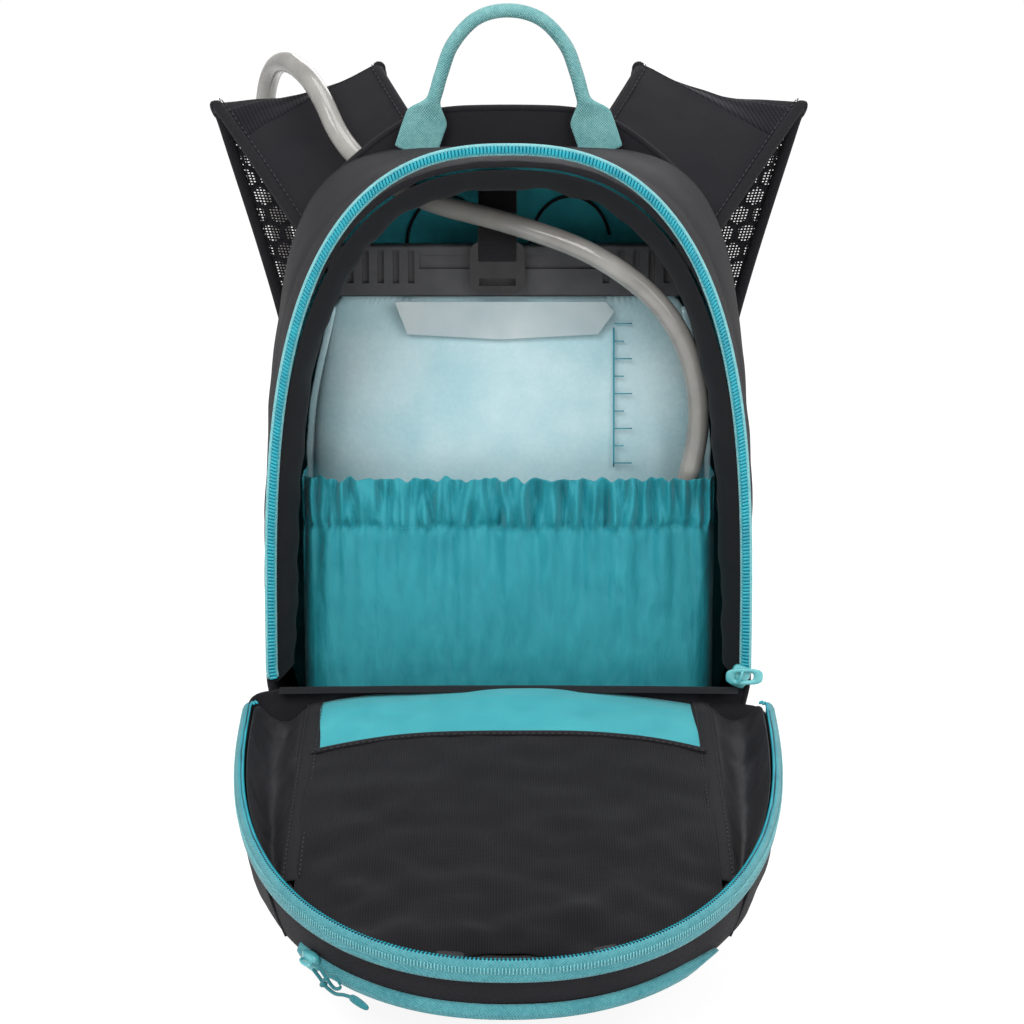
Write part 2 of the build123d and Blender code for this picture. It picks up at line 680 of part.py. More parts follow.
def build():
    """Writes every node."""
    nodes = {
        "side_gusset": flat_based(shell_gusset()),
        "back_sheet": flat_based(back_sheet()),
        "back_pads": back_pads(),
        "lower_front_panel": flat_based(lower_front_panel()),
        "hinge_piping": hinge_piping(),
        "main_zip_tape": body_tape(),
        "main_zip_coil": body_coil(),
        "reservoir_sleeve": sleeve(),
        "sleeve_elastic": sleeve_elastic(),
        "reservoir_bag": reservoir_bag(),
        "reservoir_closure": reservoir_closure(),
        "reservoir_lip": reservoir_lip(),
        "reservoir_port": reservoir_port(),
        "release_button": release_button(),
        "hang_strap": hang_strap(),
        "hang_buckle": hang_buckle(),
        "tube_grommet": tube_grommet(),
        "drink_tube": drink_tube(),
        "tube_clip": tube_clip(),
        "bite_valve_body": bite_valve_body(),
        "bite_valve_tip": bite_valve_tip(),
        "yoke_panel": yoke_panel(),
        "grab_loop": grab_loop(),
        "sternum_buckle_socket": buckle_socket(),
        "sternum_buckle_plug": buckle_plug(),
        "main_zip_slider": main_slider(),
        "main_zip_pull": main_pull(),
        "flap_shell": opened(flap_shell()),
        "flap_pocket": opened(flap_pocket()),
        "flap_band": opened(flap_band()),
        "flap_stretch_pocket": opened(flap_stretch_pocket()),
        "flap_zip_tape": opened(flap_tape()),
        "flap_zip_coil": opened(flap_coil()),
        "pocket_zip": opened(pocket_zip()),
        "pocket_zip_slider": opened(pocket_slider()),
        "pocket_zip_pull": opened(pocket_pull()),
    }
    for side, word in ((-1, "left"), (1, "right")):
        nodes[f"shoulder_strap_{word}"] = shoulder_strap(side)
        nodes[f"adjuster_lock_{word}"] = adjuster_lock(side)
        nodes[f"adjuster_web_{word}"] = adjuster_web(side)
        nodes[f"corner_tab_{word}"] = corner_tab(side)
        nodes[f"sternum_web_{word}"] = sternum_web(side)
        nodes[f"sternum_clip_{word}"] = sternum_clip(side)
    for name, shape in nodes.items():
        export(shape, name)


build()
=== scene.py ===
"""The looks of a small hydration pack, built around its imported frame.

Shapes are written in millimetres and turned into metres when a mesh is made.
Parts of the flap are written with the flap shut, then swung down about its fold.
"""
import math

import bpy
import numpy as np
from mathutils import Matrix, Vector, noise


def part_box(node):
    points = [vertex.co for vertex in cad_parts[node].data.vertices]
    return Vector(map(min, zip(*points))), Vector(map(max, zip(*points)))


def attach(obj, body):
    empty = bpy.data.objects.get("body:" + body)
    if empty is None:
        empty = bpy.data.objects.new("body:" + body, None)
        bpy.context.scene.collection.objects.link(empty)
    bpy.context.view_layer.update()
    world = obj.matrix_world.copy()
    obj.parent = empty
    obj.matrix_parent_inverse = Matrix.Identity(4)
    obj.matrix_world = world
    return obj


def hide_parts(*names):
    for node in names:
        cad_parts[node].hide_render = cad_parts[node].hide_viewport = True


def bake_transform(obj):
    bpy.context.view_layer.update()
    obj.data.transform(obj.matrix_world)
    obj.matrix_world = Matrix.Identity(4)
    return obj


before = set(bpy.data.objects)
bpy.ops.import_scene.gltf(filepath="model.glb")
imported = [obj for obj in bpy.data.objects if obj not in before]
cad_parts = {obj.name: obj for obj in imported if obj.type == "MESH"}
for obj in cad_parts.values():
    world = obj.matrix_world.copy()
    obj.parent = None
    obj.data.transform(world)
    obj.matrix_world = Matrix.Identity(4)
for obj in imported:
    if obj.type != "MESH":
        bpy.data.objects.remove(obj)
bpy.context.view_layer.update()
MM = 0.001

# Sizes shared with the CAD model, in millimetres
HINGE_Z = 100.0
HINGE_Y = -46.5
ZIP_Y = -45.0
BACK_Y = 50.0
FOOT_HALF = 92.0
FRONT = dict(half=115.0, rise=249.0, powers=(3.2, 2.5))
BACK = dict(half=119.0, rise=252.0, powers=(4.5, 5.0))
FLAP_Y = -48.0
FLAP_HALF = 124.0
FLAP_TOP = 346.0
FLAP_BASE = 101.5
FLAP_CORNER = 14.0
FLAP_POWERS = (2.6, 2.2)
FLAP_SECTIONS = [(0.0, 0.0, 0.0), (27.0, 3.5, 10.0), (40.0, 24.0, 30.0)]
OPEN_ANGLE = math.radians(102)
COIL_PITCH = 1.66
NET_PITCH = 1.5
ZIP_START = 12.0
NOTCH = 8.0
TUBE_D = 10.5
STRAP_THICK = 5.0
TUBE_ROUTE = [
    (55, -4, 66), (55, -4, 98), (69, -5, 140), (86, -4, 184), (95, -12, 229), (82, -18, 274), (46, -14,
        304),
    (0, 6, 319), (-47, 37, 328), (-83, 69, 350), (-98, 87, 383), (-114, 114, 396), (-126, 144, 393),
    (-133, 168, 374), (-133, 182, 345), (-127, 180, 311), (-117, 157, 268), (-108, 134, 228), (-101, 129,
        183),
    (-97, 128, 143),
]


# ---------------------------------------------------------------- materials

def linear(hex_code):
    """A colour as written on screen, in the linear values that shaders take."""
    parts = [int(hex_code[i:i + 2], 16) / 255 for i in (0, 2, 4)]
    return [c / 12.92 if c <= 0.04045 else ((c + 0.055) / 1.055) ** 2.4 for c in parts] + [1.0]


class Nodes:
    """A material's node tree, with short calls for the nodes that the finishes share."""

    def __init__(self, name):
        self.material = bpy.data.materials.new(name)
        self.material.use_nodes = True
        self.tree = self.material.node_tree
        self.shader = self.tree.nodes["Principled BSDF"]
        coordinates = self.tree.nodes.new("ShaderNodeTexCoord")
        self.place = coordinates.outputs["Object"]

    def link(self, source, target):
        self.tree.links.new(source, target)

    def set(self, **values):
        for key, value in values.items():
            self.shader.inputs[key.replace("_", " ")].default_value = value

    def math(self, kind, a, b=None):
        node = self.tree.nodes.new("ShaderNodeMath")
        node.operation = kind
        for socket, value in zip(node.inputs, (a, b)):
            if value is None:
                continue
            if isinstance(value, (int, float)):
                socket.default_value = value
            else:
                self.link(value, socket)
        return node.outputs[0]

    def wave(self, direction, period):
        """Sine of the place along a direction, one cycle per period in millimetres."""
        dot = self.tree.nodes.new("ShaderNodeVectorMath")
        dot.operation = "DOT_PRODUCT"
        self.link(self.place, dot.inputs[0])
        dot.inputs[1].default_value = direction
        return self.math("SINE", self.math("MULTIPLY", dot.outputs["Value"], 2 * math.pi / (period * MM)))

    def noise(self, size, detail=3.0, stretch=(1, 1, 1)):
        """Noise with features of a size in millimetres."""
        mapping = self.tree.nodes.new("ShaderNodeMapping")
        mapping.inputs["Scale"].default_value = stretch
        self.link(self.place, mapping.inputs["Vector"])
        node = self.tree.nodes.new("ShaderNodeTexNoise")
        node.inputs["Scale"].default_value = 1 / (size * MM)
        node.inputs["Detail"].default_value = detail
        self.link(mapping.outputs["Vector"], node.inputs["Vector"])
        return node.outputs["Fac"]

    def mix(self, factor, a, b):
        node = self.tree.nodes.new("ShaderNodeMix")
        node.data_type = "RGBA"
        self.link(factor, node.inputs["Factor"])
        for socket, value in ((node.inputs["A"], a), (node.inputs["B"], b)):
            if isinstance(value, list):
                socket.default_value = value
            else:
                self.link(value, socket)
        return node.outputs["Result"]

    def spread(self, value, low, high, to_low=0.0, to_high=1.0):
        node = self.tree.nodes.new("ShaderNodeMapRange")
        self.link(value, node.inputs["Value"])
        for key, number in (("From Min", low), ("From Max", high), ("To Min", to_low), ("To Max", to_high)):
            node.inputs[key].default_value = number
        return node.outputs["Result"]

    def bump(self, height, distance, strength=0.6):
        node = self.tree.nodes.new("ShaderNodeBump")
        node.inputs["Strength"].default_value = strength
        node.inputs["Distance"].default_value = distance * MM
        self.link(height, node.inputs["Height"])
        self.link(node.outputs["Normal"], self.shader.inputs["Normal"])

    def color(self, value):
        self.link(value, self.shader.inputs["Base Color"])

    def roughness(self, value):
        self.link(value, self.shader.inputs["Roughness"])


def woven(name, dark, light, period, rough=0.8, sheen=0.25, depth=0.12, patch=35.0, across=(1, 0.35, 0),
        along=(0, 0.9, 1)):
    """Plain weave: two sets of threads, uneven dye and a soft sheen."""
    n = Nodes(name)
    threads = n.math("MULTIPLY", n.wave(across, period), n.wave(along, period))
    grain = n.noise(period * 1.4, 2.0)
    patches = n.noise(patch, 4.0)
    tone = n.math("ADD", n.math("MULTIPLY", threads, 0.18), n.math("MULTIPLY", grain, 0.55))
    tone = n.math("ADD", tone, n.math("MULTIPLY", patches, 0.45))
    n.color(n.mix(n.spread(tone, 0.2, 0.85), linear(dark), linear(light)))
    n.roughness(n.spread(patches, 0.3, 0.7, rough - 0.08, rough + 0.08))
    n.bump(n.math("ADD", threads, n.math("MULTIPLY", grain, 0.6)), depth)
    n.set(Sheen_Weight=sheen, Sheen_Roughness=0.4, Specular_IOR_Level=0.3)
    return n.material


def ribbed(name, dark, light, period, direction=(1, 0, 0)):
    """Stretch knit with fine ribs."""
    n = Nodes(name)
    ribs = n.wave(direction, period)
    loops = n.wave((0, 1, 0.4), period * 0.8)
    patches = n.noise(30, 4.0)
    tone = n.math("ADD", n.math("MULTIPLY", ribs, 0.25), patches)
    n.color(n.mix(n.spread(tone, 0.2, 0.9), linear(dark), linear(light)))
    n.bump(n.math("ADD", ribs, n.math("MULTIPLY", loops, 0.35)), 0.18)
    n.set(Roughness=0.92, Sheen_Weight=0.06, Sheen_Roughness=0.5, Specular_IOR_Level=0.2)
    return n.material


def satin(name, dark, light, rough, crease=9.0, sheen=0.2):
    """Thin lining cloth: smooth, with small creases that catch light, and its colour painted lighter on the
    crease crests and darker in their hollows (painted highlight and painted shade).
    """
    n = Nodes(name)
    creases = n.noise(crease, 5.0, (1.0, 1.0, 0.35))
    patches = n.noise(45, 3.0)
    threads = n.math("MULTIPLY", n.wave((1, 0.3, 0), 0.5), n.wave((0, 0.9, 1), 0.5))
    # Painted shade and highlight: the colour follows the same crease field as the bump, darker in the
    # hollows and lighter on the crests, mixed with uneven dye patches.
    tone = n.math("ADD", n.math("MULTIPLY", creases, 0.6), n.math("MULTIPLY", patches, 0.4))
    n.color(n.mix(n.spread(tone, 0.32, 0.68), linear(dark), linear(light)))
    n.roughness(n.spread(creases, 0.3, 0.7, rough - 0.06, rough + 0.1))
    n.bump(n.math("ADD", n.math("MULTIPLY", creases, 7.0), n.math("MULTIPLY", threads, 0.2)), 0.3, 0.8)
    n.set(Sheen_Weight=sheen, Sheen_Roughness=0.35, Specular_IOR_Level=0.4)
    return n.material


def plastic(name, dark, light, rough, coat=0.0, scuff=0.15):
    """Moulded plastic with a fine texture and a little scuffing."""
    n = Nodes(name)
    grain = n.noise(0.7, 2.0)
    scuffs = n.noise(12, 6.0)
    n.color(n.mix(n.spread(scuffs, 0.35, 0.7), linear(dark), linear(light)))
    n.roughness(n.spread(scuffs, 0.3, 0.7, rough, rough + scuff))
    n.bump(grain, 0.04, 0.4)
    n.set(Coat_Weight=coat, Coat_Roughness=0.15)
    return n.material


def frosted(name, dark, light, rough, clear, alpha=1.0, bend=1.45):
    """Translucent sheet or tube."""
    n = Nodes(name)
    cloud = n.noise(28, 4.0)
    fine = n.noise(3.0, 3.0)
    n.color(n.mix(n.spread(cloud, 0.3, 0.7), linear(dark), linear(light)))
    n.roughness(n.spread(fine, 0.3, 0.7, rough - 0.04, rough + 0.06))
    n.bump(n.math("ADD", n.math("MULTIPLY", cloud, 4.0), fine), 0.25, 0.35)
    n.set(Transmission_Weight=clear, IOR=bend, Alpha=alpha, Coat_Weight=0.2, Coat_Roughness=0.12)
    return n.material


BLACK = woven("black_nylon", "0d0c10", "1c1a20", 0.7, rough=0.8, sheen=0.05)
BLACK_FINE = woven("black_lining", "0d0c0f", "19181c", 0.5, rough=0.75, sheen=0.04, depth=0.06)
BINDING = woven("black_binding", "0e0d10", "1e1c21", 1.1, rough=0.88, sheen=0.05, depth=0.2)
COATED = satin("coated_lining", "1a191c", "2f2d31", 0.4, crease=12.0, sheen=0.05)
STRETCH = ribbed("stretch_knit", "0c0b0e", "1a191d", 1.15)
AIR_MESH = ribbed("air_mesh", "0e0d10", "252329", 2.2, direction=(1, 0, 0.6))
HEX_MESH = woven("hex_mesh_yarn", "0e0d10", "201e23", 0.9, rough=0.88, sheen=0.04, depth=0.15)
TEAL_LINING = satin("teal_lining", "1394a4", "2fb0bb", 0.5)
TEAL_SLEEVE = satin("teal_sleeve", "158593", "2b9ca8", 0.42, crease=6.0)
TEAL_STRIP = satin("teal_strip", "2a9da8", "3fadb6", 0.5, crease=18.0)
TAPE = woven("zip_tape", "2c7a84", "5fa5ac", 1.3, rough=0.7, depth=0.25, patch=12)
TAPE_PALE = woven("zip_tape_pale", "58abb3", "93cfd2", 1.2, rough=0.7, depth=0.25, patch=8)
COIL = plastic("zip_coil", "06899b", "12a3b2", 0.3, coat=0.3)
ENAMEL = plastic("slider_enamel", "3f9fa6", "79c6c9", 0.32, coat=0.4)
CORD = woven("pull_cord", "17666f", "34939b", 0.9, rough=0.75, depth=0.3)
WEBBING = woven("pale_webbing", "4f9093", "8abdbc", 1.25, rough=0.75, depth=0.35, patch=10)
BLACK_WEB = woven("black_webbing", "0c0b0e", "1c1b1f", 1.5, rough=0.75, depth=0.35, patch=12)
GLOSS_BLACK = plastic("black_acetal", "0c0c0e", "19181b", 0.22, coat=0.2)
GREY_PLASTIC = plastic("grey_closure", "313134", "434346", 0.42)
BAG_FILM = frosted("reservoir_film", "a3c8d0", "bcd7dc", 0.26, 0.0)
CLEAR = frosted("clear_plate", "b4c6ca", "d3dee0", 0.14, 0.1, alpha=0.8)
TUBE = frosted("tube_rubber", "8a8884", "aaa8a3", 0.1, 0.12)
SILICONE = frosted("bite_silicone", "1a8c99", "37a9b3", 0.4, 0.15)
PRINT = plastic("scale_print", "1a7f92", "2a93a5", 0.5)
THREAD = woven("thread", "2c2a2f", "48454c", 0.4, rough=0.75, sheen=0.05)
SHEET = woven("sheet_back", "0e0d10", "1c1b1f", 0.9, rough=0.85, sheen=0.05)


# ---------------------------------------------------------------- geometry

def arch(half, rise, base, powers, count=60):
    """A superellipse arch from its right foot to its left foot, as rows of (x, z)."""
    up, side = powers
    t = np.linspace(0, np.pi, count)
    c = np.cos(t)
    s = np.sin(t).clip(0, None)
    return np.column_stack([half * np.sign(c) * np.abs(c) ** (2 / side), base + rise * s ** (2 / up)])


def bent(value, power):
    """A power of a cosine or sine that keeps its sign, which squares off a circle."""
    return math.copysign(abs(value) ** power, value)


def resample(points, count, closed=False):
    """Evenly spaced points along a line."""
    line = np.vstack([points, points[:1]]) if closed else np.asarray(points, float)
    run = np.concatenate([[0], np.cumsum(np.linalg.norm(np.diff(line, axis=0), axis=1))])
    marks = np.linspace(0, run[-1], count + 1)[:-1] if closed else np.linspace(0, run[-1], count)
    return np.column_stack([np.interp(marks, run, line[:, k]) for k in range(line.shape[1])])


def corner(a, b, c, count=8):
    """A rounded corner from a to c, drawn towards b."""
    a, b, c = (np.array(p, float) for p in (a, b, c))
    return [(1 - t) ** 2 * a + 2 * t * (1 - t) * b + t * t * c for t in np.linspace(0, 1, count)]


def body_outline(half, rise, powers, inset=0.0, count=180):
    """Closed outline of the bag body: an arch on tapering legs with a flat foot."""
    half, foot, low = half - inset, FOOT_HALF - inset, inset
    top = list(arch(half, rise - inset, HINGE_Z, powers))
    slope = (half - foot) / HINGE_Z
    left = corner((-foot - 27 * slope, low + 27), (-foot, low), (-foot + 27, low))
    right = corner((foot - 27, low), (foot, low), (foot + 27 * slope, low + 27))
    return resample(np.array(top + left + right), count, closed=True)


def flap_drawn(depth):
    """How far the flap's side and bottom have drawn in at a depth under its rim."""
    depths, sides, bottoms = zip(*FLAP_SECTIONS)
    return np.interp(depth, depths, sides), np.interp(depth, depths, bottoms)


def flap_outline(depth, inset=0.0, count=200):
    """Closed outline of the flap at a depth, with the flap shut."""
    side, bottom = flap_drawn(depth)
    half, base = FLAP_HALF - side - inset, FLAP_BASE + bottom + inset
    rise = FLAP_TOP - side - inset - base - FLAP_CORNER
    top = list(arch(half, rise, base + FLAP_CORNER, FLAP_POWERS, 90))
    left = corner((-half, base + FLAP_CORNER * 0.9), (-half, base), (-half + FLAP_CORNER, base))
    right = corner((half - FLAP_CORNER, base), (half, base), (half, base + FLAP_CORNER * 0.9))
    return resample(np.array(top + left + right), count, closed=True)


def flap_rim(depth, inset=0.0, count=400, start=4.0):
    """The flap's outline without its bottom, from the right end of the zip to the left end."""
    side, _ = flap_drawn(depth)
    half, base = FLAP_HALF - side - inset, FLAP_BASE + start
    rise = FLAP_TOP - side - inset - FLAP_BASE - FLAP_CORNER
    top = arch(half, rise, FLAP_BASE + FLAP_CORNER, FLAP_POWERS, 120)
    line = np.vstack([[(half - 3, base)], top, [(-half + 3, base)]])
    return resample(line, count)


def swing(points):
    """Turns points of the shut flap down to where it rests."""
    p = np.array(points, float)
    c, s = math.cos(OPEN_ANGLE), math.sin(OPEN_ANGLE)
    y, z = p[:, 1] - HINGE_Y, p[:, 2] - HINGE_Z
    return np.column_stack([p[:, 0], HINGE_Y + y * c - z * s, HINGE_Z + y * s + z * c])


def ripple(point, size, height, seed=0.0):
    """Smooth uneven displacement in millimetres."""
    return height * noise.noise(Vector((point[0] / size + seed, point[1] / size, point[2] / size)))


def grid_faces(rows, columns, closed=False, first=0):
    """Faces of a grid of vertices that is laid out row by row."""
    faces = []
    for r in range(rows - 1):
        for c in range(columns if closed else columns - 1):
            a, b = r * columns + c, r * columns + (c + 1) % columns
            faces.append((first + a, first + b, first + b + columns, first + a + columns))
    return faces


def capped(rows, columns):
    """Faces of a tube laid out ring by ring, closed at both ends."""
    last = (rows - 1) * columns
    return grid_faces(rows, columns, closed=True) + [
        tuple(range(columns))[::-1], tuple(last + k for k in range(columns))]


def add(name, vertices, faces, material, body, slot, replaces=(), smooth=0, wall=0.0, offset=-1.0):
    """Makes one piece of the model from millimetres, and ties it to its body and finish."""
    mesh = bpy.data.meshes.new(name)
    mesh.from_pydata([tuple(float(c) * MM for c in v) for v in vertices], [], faces)
    mesh.validate()
    mesh.update()
    piece = bpy.data.objects.new(name, mesh)
    bpy.context.collection.objects.link(piece)
    mesh.materials.append(material)
    mesh.polygons.foreach_set("use_smooth", [True] * len(mesh.polygons))
    if wall:
        solid = piece.modifiers.new("wall", "SOLIDIFY")
        solid.thickness = wall * MM
        solid.offset = offset
    if smooth:
        subdivision = piece.modifiers.new("smooth", "SUBSURF")
        subdivision.levels = subdivision.render_levels = smooth
    if body:
        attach(piece, body)
    if replaces:
        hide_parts(*replaces)
    return piece


def normals_along(path):
    """Tangents of a line of points."""
    t = np.gradient(path, axis=0)
    return t / np.linalg.norm(t, axis=1)[:, None]


def tube_along(path, radius, sides=8, up=(0, 0, 1), flat=1.0, closed=False):
    """Vertices and faces of a tube along a line. flat squeezes it across the direction up."""
    path = np.asarray(path, float)
    tangent = normals_along(path)
    if closed:
        tangent = np.roll(path, -1, axis=0) - np.roll(path, 1, axis=0)
        tangent /= np.linalg.norm(tangent, axis=1)[:, None]
    radius = np.broadcast_to(radius, len(path))
    vertices = []
    for p, t, r in zip(path, tangent, radius):
        side = np.cross(t, up)
        side /= np.linalg.norm(side) + 1e-9
        out = np.cross(side, t)
        for k in range(sides):
            a = 2 * math.pi * k / sides
            vertices.append(p + side * math.cos(a) * r + out * math.sin(a) * r * flat)
    faces = grid_faces(len(path), sides, closed=True)
    if closed:
        last = (len(path) - 1) * sides
        faces += [(last + k, last + (k + 1) % sides, (k + 1) % sides, k) for k in range(sides)]
    else:
        faces += [tuple(range(sides))[::-1], tuple((len(path) - 1) * sides + k for k in range(sides))]
    return vertices, faces


def joined(parts):
    """Many small meshes as one."""
    vertices, faces = [], []
    for v, f in parts:
        faces += [tuple(i + len(vertices) for i in face) for face in f]
        vertices += list(v)
    return vertices, faces


def capsule(a, b, radius, sides=6):
    """A small rod with rounded ends from a to b."""
    a, b = np.array(a, float), np.array(b, float)
    stops = [(-0.9, 0.35), (-0.45, 0.85), (0.2, 1.0), (0.5, 1.05), (0.8, 1.0), (1.45, 0.85), (1.9, 0.35)]
    length = np.linalg.norm(b - a)
    axis = (b - a) / length
    path, radii = [], []
    for place, share in stops:
        if place < 0:
            at = a + axis * place * radius
        elif place > 1:
            at = b + axis * (place - 1) * radius
        else:
            at = a + (b - a) * place
        path.append(at)
        radii.append(share * radius)
    up = (0, 0, 1) if abs(axis[2]) < 0.9 else (0, 1, 0)
    return tube_along(path, np.array(radii), sides, up)


def stitches(path, length=2.4, gap=1.1, radius=0.28, lift=(0, 0, 0)):
    """A line of thread stitches along a line of points."""
    path = np.asarray(path, float) + np.array(lift)
    run = np.linalg.norm(np.diff(path, axis=0), axis=1).sum()
    count = max(2, int(run / (length + gap)))
    even = resample(path, count * 8)
    share = int(8 * length / (length + gap))
    return joined([tube_along(even[8 * k:8 * k + share + 1], radius, 5) for k in range(count)])


def disc(front, back, crown_front, crown_back):
    """A closed plate between two outlines, crowned on both sides."""
    count = len(front)
    center = front.mean(axis=0)
    shares = [1.0, 0.985, 0.95, 0.86, 0.7, 0.5, 0.3, 0.12]
    rows = []
    for share in reversed(shares):
        rows.append(center + (front - center) * share + np.array([0, -crown_front, 0]) * (1 - share ** 4))
    center_back = center + (back.mean(axis=0) - front.mean(axis=0))
    for share in shares:
        crown = np.array([0, crown_back, 0]) * (1 - share ** 4)
        rows.append(center_back + (back - center_back) * share + crown)
    vertices = np.vstack(rows)
    faces = grid_faces(len(rows), count, closed=True)
    faces.append(tuple(range(count)))
    faces.append(tuple((len(rows) - 1) * count + k for k in range(count))[::-1])
    return vertices, faces


def at_depth(outline, y):
    """Rows of (x, z) as points at a depth y."""
    return np.column_stack([outline[:, 0], np.full(len(outline), y), outline[:, 1]])


# ---------------------------------------------------------------- body

def body_shell():
    """Side wall: one long panel that swells a little and puckers at its seams."""
    front, back = body_outline(**FRONT), body_outline(**BACK)
    rows = []
    for v in (0, 0.02, 0.06, 0.15, 0.3, 0.34, 0.38, 0.5, 0.65, 0.8, 0.92, 0.97, 1.0):
        line = front + (back - front) * v
        center = np.array([0, 190.0])
        out = line - center
        out /= np.linalg.norm(out, axis=1)[:, None]
        swell = 2.2 * math.sin(math.pi * v)
        y = ZIP_Y + (BACK_Y - ZIP_Y) * v
        points = at_depth(line, y)
        for i, p in enumerate(points):
            if p[2] < 3:
                continue
            seam = -0.9 if abs(v - 0.34) < 0.01 else 0.0
            pucker = ripple(p, 22, 1.6 * math.sin(math.pi * v)) + ripple(p, 9, 0.5, 3.0)
            push = (swell + seam + pucker) * min(1, (p[2] - 3) / 30)
            points[i, 0] += out[i, 0] * push
            points[i, 2] += out[i, 1] * push
        rows.append(points)
    vertices = np.vstack(rows)
    faces = grid_faces(len(rows), len(front), closed=True)
    add("side_wall", vertices, faces, BLACK, "pack", "shell_fabric", ["side_gusset"], smooth=1, wall=1.6)
    seam = rows[5][2:58]
    above = [p + np.array([0, 1.5, 0.0]) + np.array([p[0], 0, p[2] - 190]) / 190 * 1.1 for p in seam]
    add("side_seam_stitch", *stitches(above), THREAD, "pack", "shell_fabric")
    for name, line, y, radius in (("front_piping", front, ZIP_Y + 0.6, 1.5),
            ("back_piping", back, BACK_Y + 1.0, 1.7)):
        ring = at_depth(line, y)
        ring[:, 2] += np.where(ring[:, 2] < 3, radius, 0)
        add(name, *tube_along(ring, radius, 8, (0, 1, 0), closed=True), BINDING, "pack", "shell_fabric")


def back_lining():
    """Satin lining on the back wall, inside, with its two curved seams."""
    outline = body_outline(inset=3.2, **BACK)
    front, back = at_depth(outline, BACK_Y - 1.2), at_depth(outline, BACK_Y - 0.4)
    vertices, faces = disc(front, back, 0.8, 0.0)
    moved = [p + np.array([0, ripple(p, 26, 1.6), 0]) for p in vertices]
    add("back_lining", moved, faces, TEAL_LINING, "pack", "teal_lining")
    seams = []
    for side in (-1, 1):
        arc = [(side * 31 + 20 * math.cos(a), BACK_Y - 2.6,
            305 + 24 * math.sin(a)) for a in np.linspace(0.2, 6.1, 40)]
        seams.append(tube_along(arc, 0.8, 6, (0, 1, 0)))
    add("back_lining_seams", *joined(seams), BLACK_FINE, "pack", "teal_lining")


def ruffled_lining():
    """Loose edge of the black lining inside the zip."""
    rows = []
    outer = resample(arch(112.6, 246.5, HINGE_Z, FRONT["powers"], 120), 260)
    center = np.array([0, 185.0])
    out = outer - center
    out /= np.linalg.norm(out, axis=1)[:, None]
    for k, (inset, y) in enumerate([(0, ZIP_Y + 1), (4, ZIP_Y + 5), (8, ZIP_Y + 11), (11, ZIP_Y + 19),
            (8, ZIP_Y + 26)]):
        line = outer - out * inset
        points = at_depth(line, y)
        share = k / 4
        for i, p in enumerate(points):
            wave = ripple((i * 1.3, 0, k * 1.5), 7, 2.6 * share, 9.0)
            points[i] += np.array([out[i, 0] * wave, wave * 0.8, out[i, 1] * wave])
        rows.append(points)
    add("zip_lining", np.vstack(rows), grid_faces(5, 260), BLACK_FINE, "pack", "shell_fabric", smooth=1,
        wall=0.5, offset=0)


def coil_teeth(line, out, y_out, length=2.5, radius=0.62):
    """One bead for each turn of a coil along a line of places. out points across the tape at each."""
    run = np.linalg.norm(np.diff(line, axis=0), axis=1).sum()
    count = int(run / COIL_PITCH)
    places, across = resample(line, count), resample(out, count)
    beads = []
    for p, o in zip(places, across):
        o = o / np.linalg.norm(o)
        beads.append(capsule(p - o * length / 2 + y_out, p + o * length / 2 + y_out, radius))
    return joined(beads)


def outward(line):
    """Unit directions across a line in its own (x, z) plane, away from the middle."""
    t = normals_along(line)
    across = np.column_stack([t[:, 1], -t[:, 0]])
    middle = np.array([0, line[:, 1].mean()])
    flip = np.sign(((line - middle) * across).sum(axis=1))
    return across * flip[:, None]


def body_zip():
    """Half of the main zip that stays on the body."""
    start = np.array([[113.0, HINGE_Z + 4]])
    end = np.array([[-113.0, HINGE_Z + 4]])
    middle = arch(113.6, 247.6, HINGE_Z + 8, FRONT["powers"], 140)
    line = resample(np.vstack([start, middle, end]), 420)
    across = outward(line)
    y = ZIP_Y - 1.2
    steps = ((-2.4, 0.8), (-1.8, 0.1), (0.0, -0.1), (1.7, -0.3), (2.0, -1.1), (2.5, -1.2), (2.9, -0.2))
    rows = [at_depth(line + across * d, y + e) for d, e in steps]
    add("body_zip_tape", np.vstack(rows), grid_faces(len(steps), len(line)), TAPE_PALE, "pack", "zip_tape",
        ["main_zip_tape"], wall=0.5, offset=0)
    teeth = coil_teeth(at_depth(line + across * 0.1, y), at_depth(across, 0.0), np.array([0, -0.8, 0]),
        2.5, 0.8)
    add("body_zip_coil", *teeth, COIL, "pack", "zip_teal", ["main_zip_coil"])


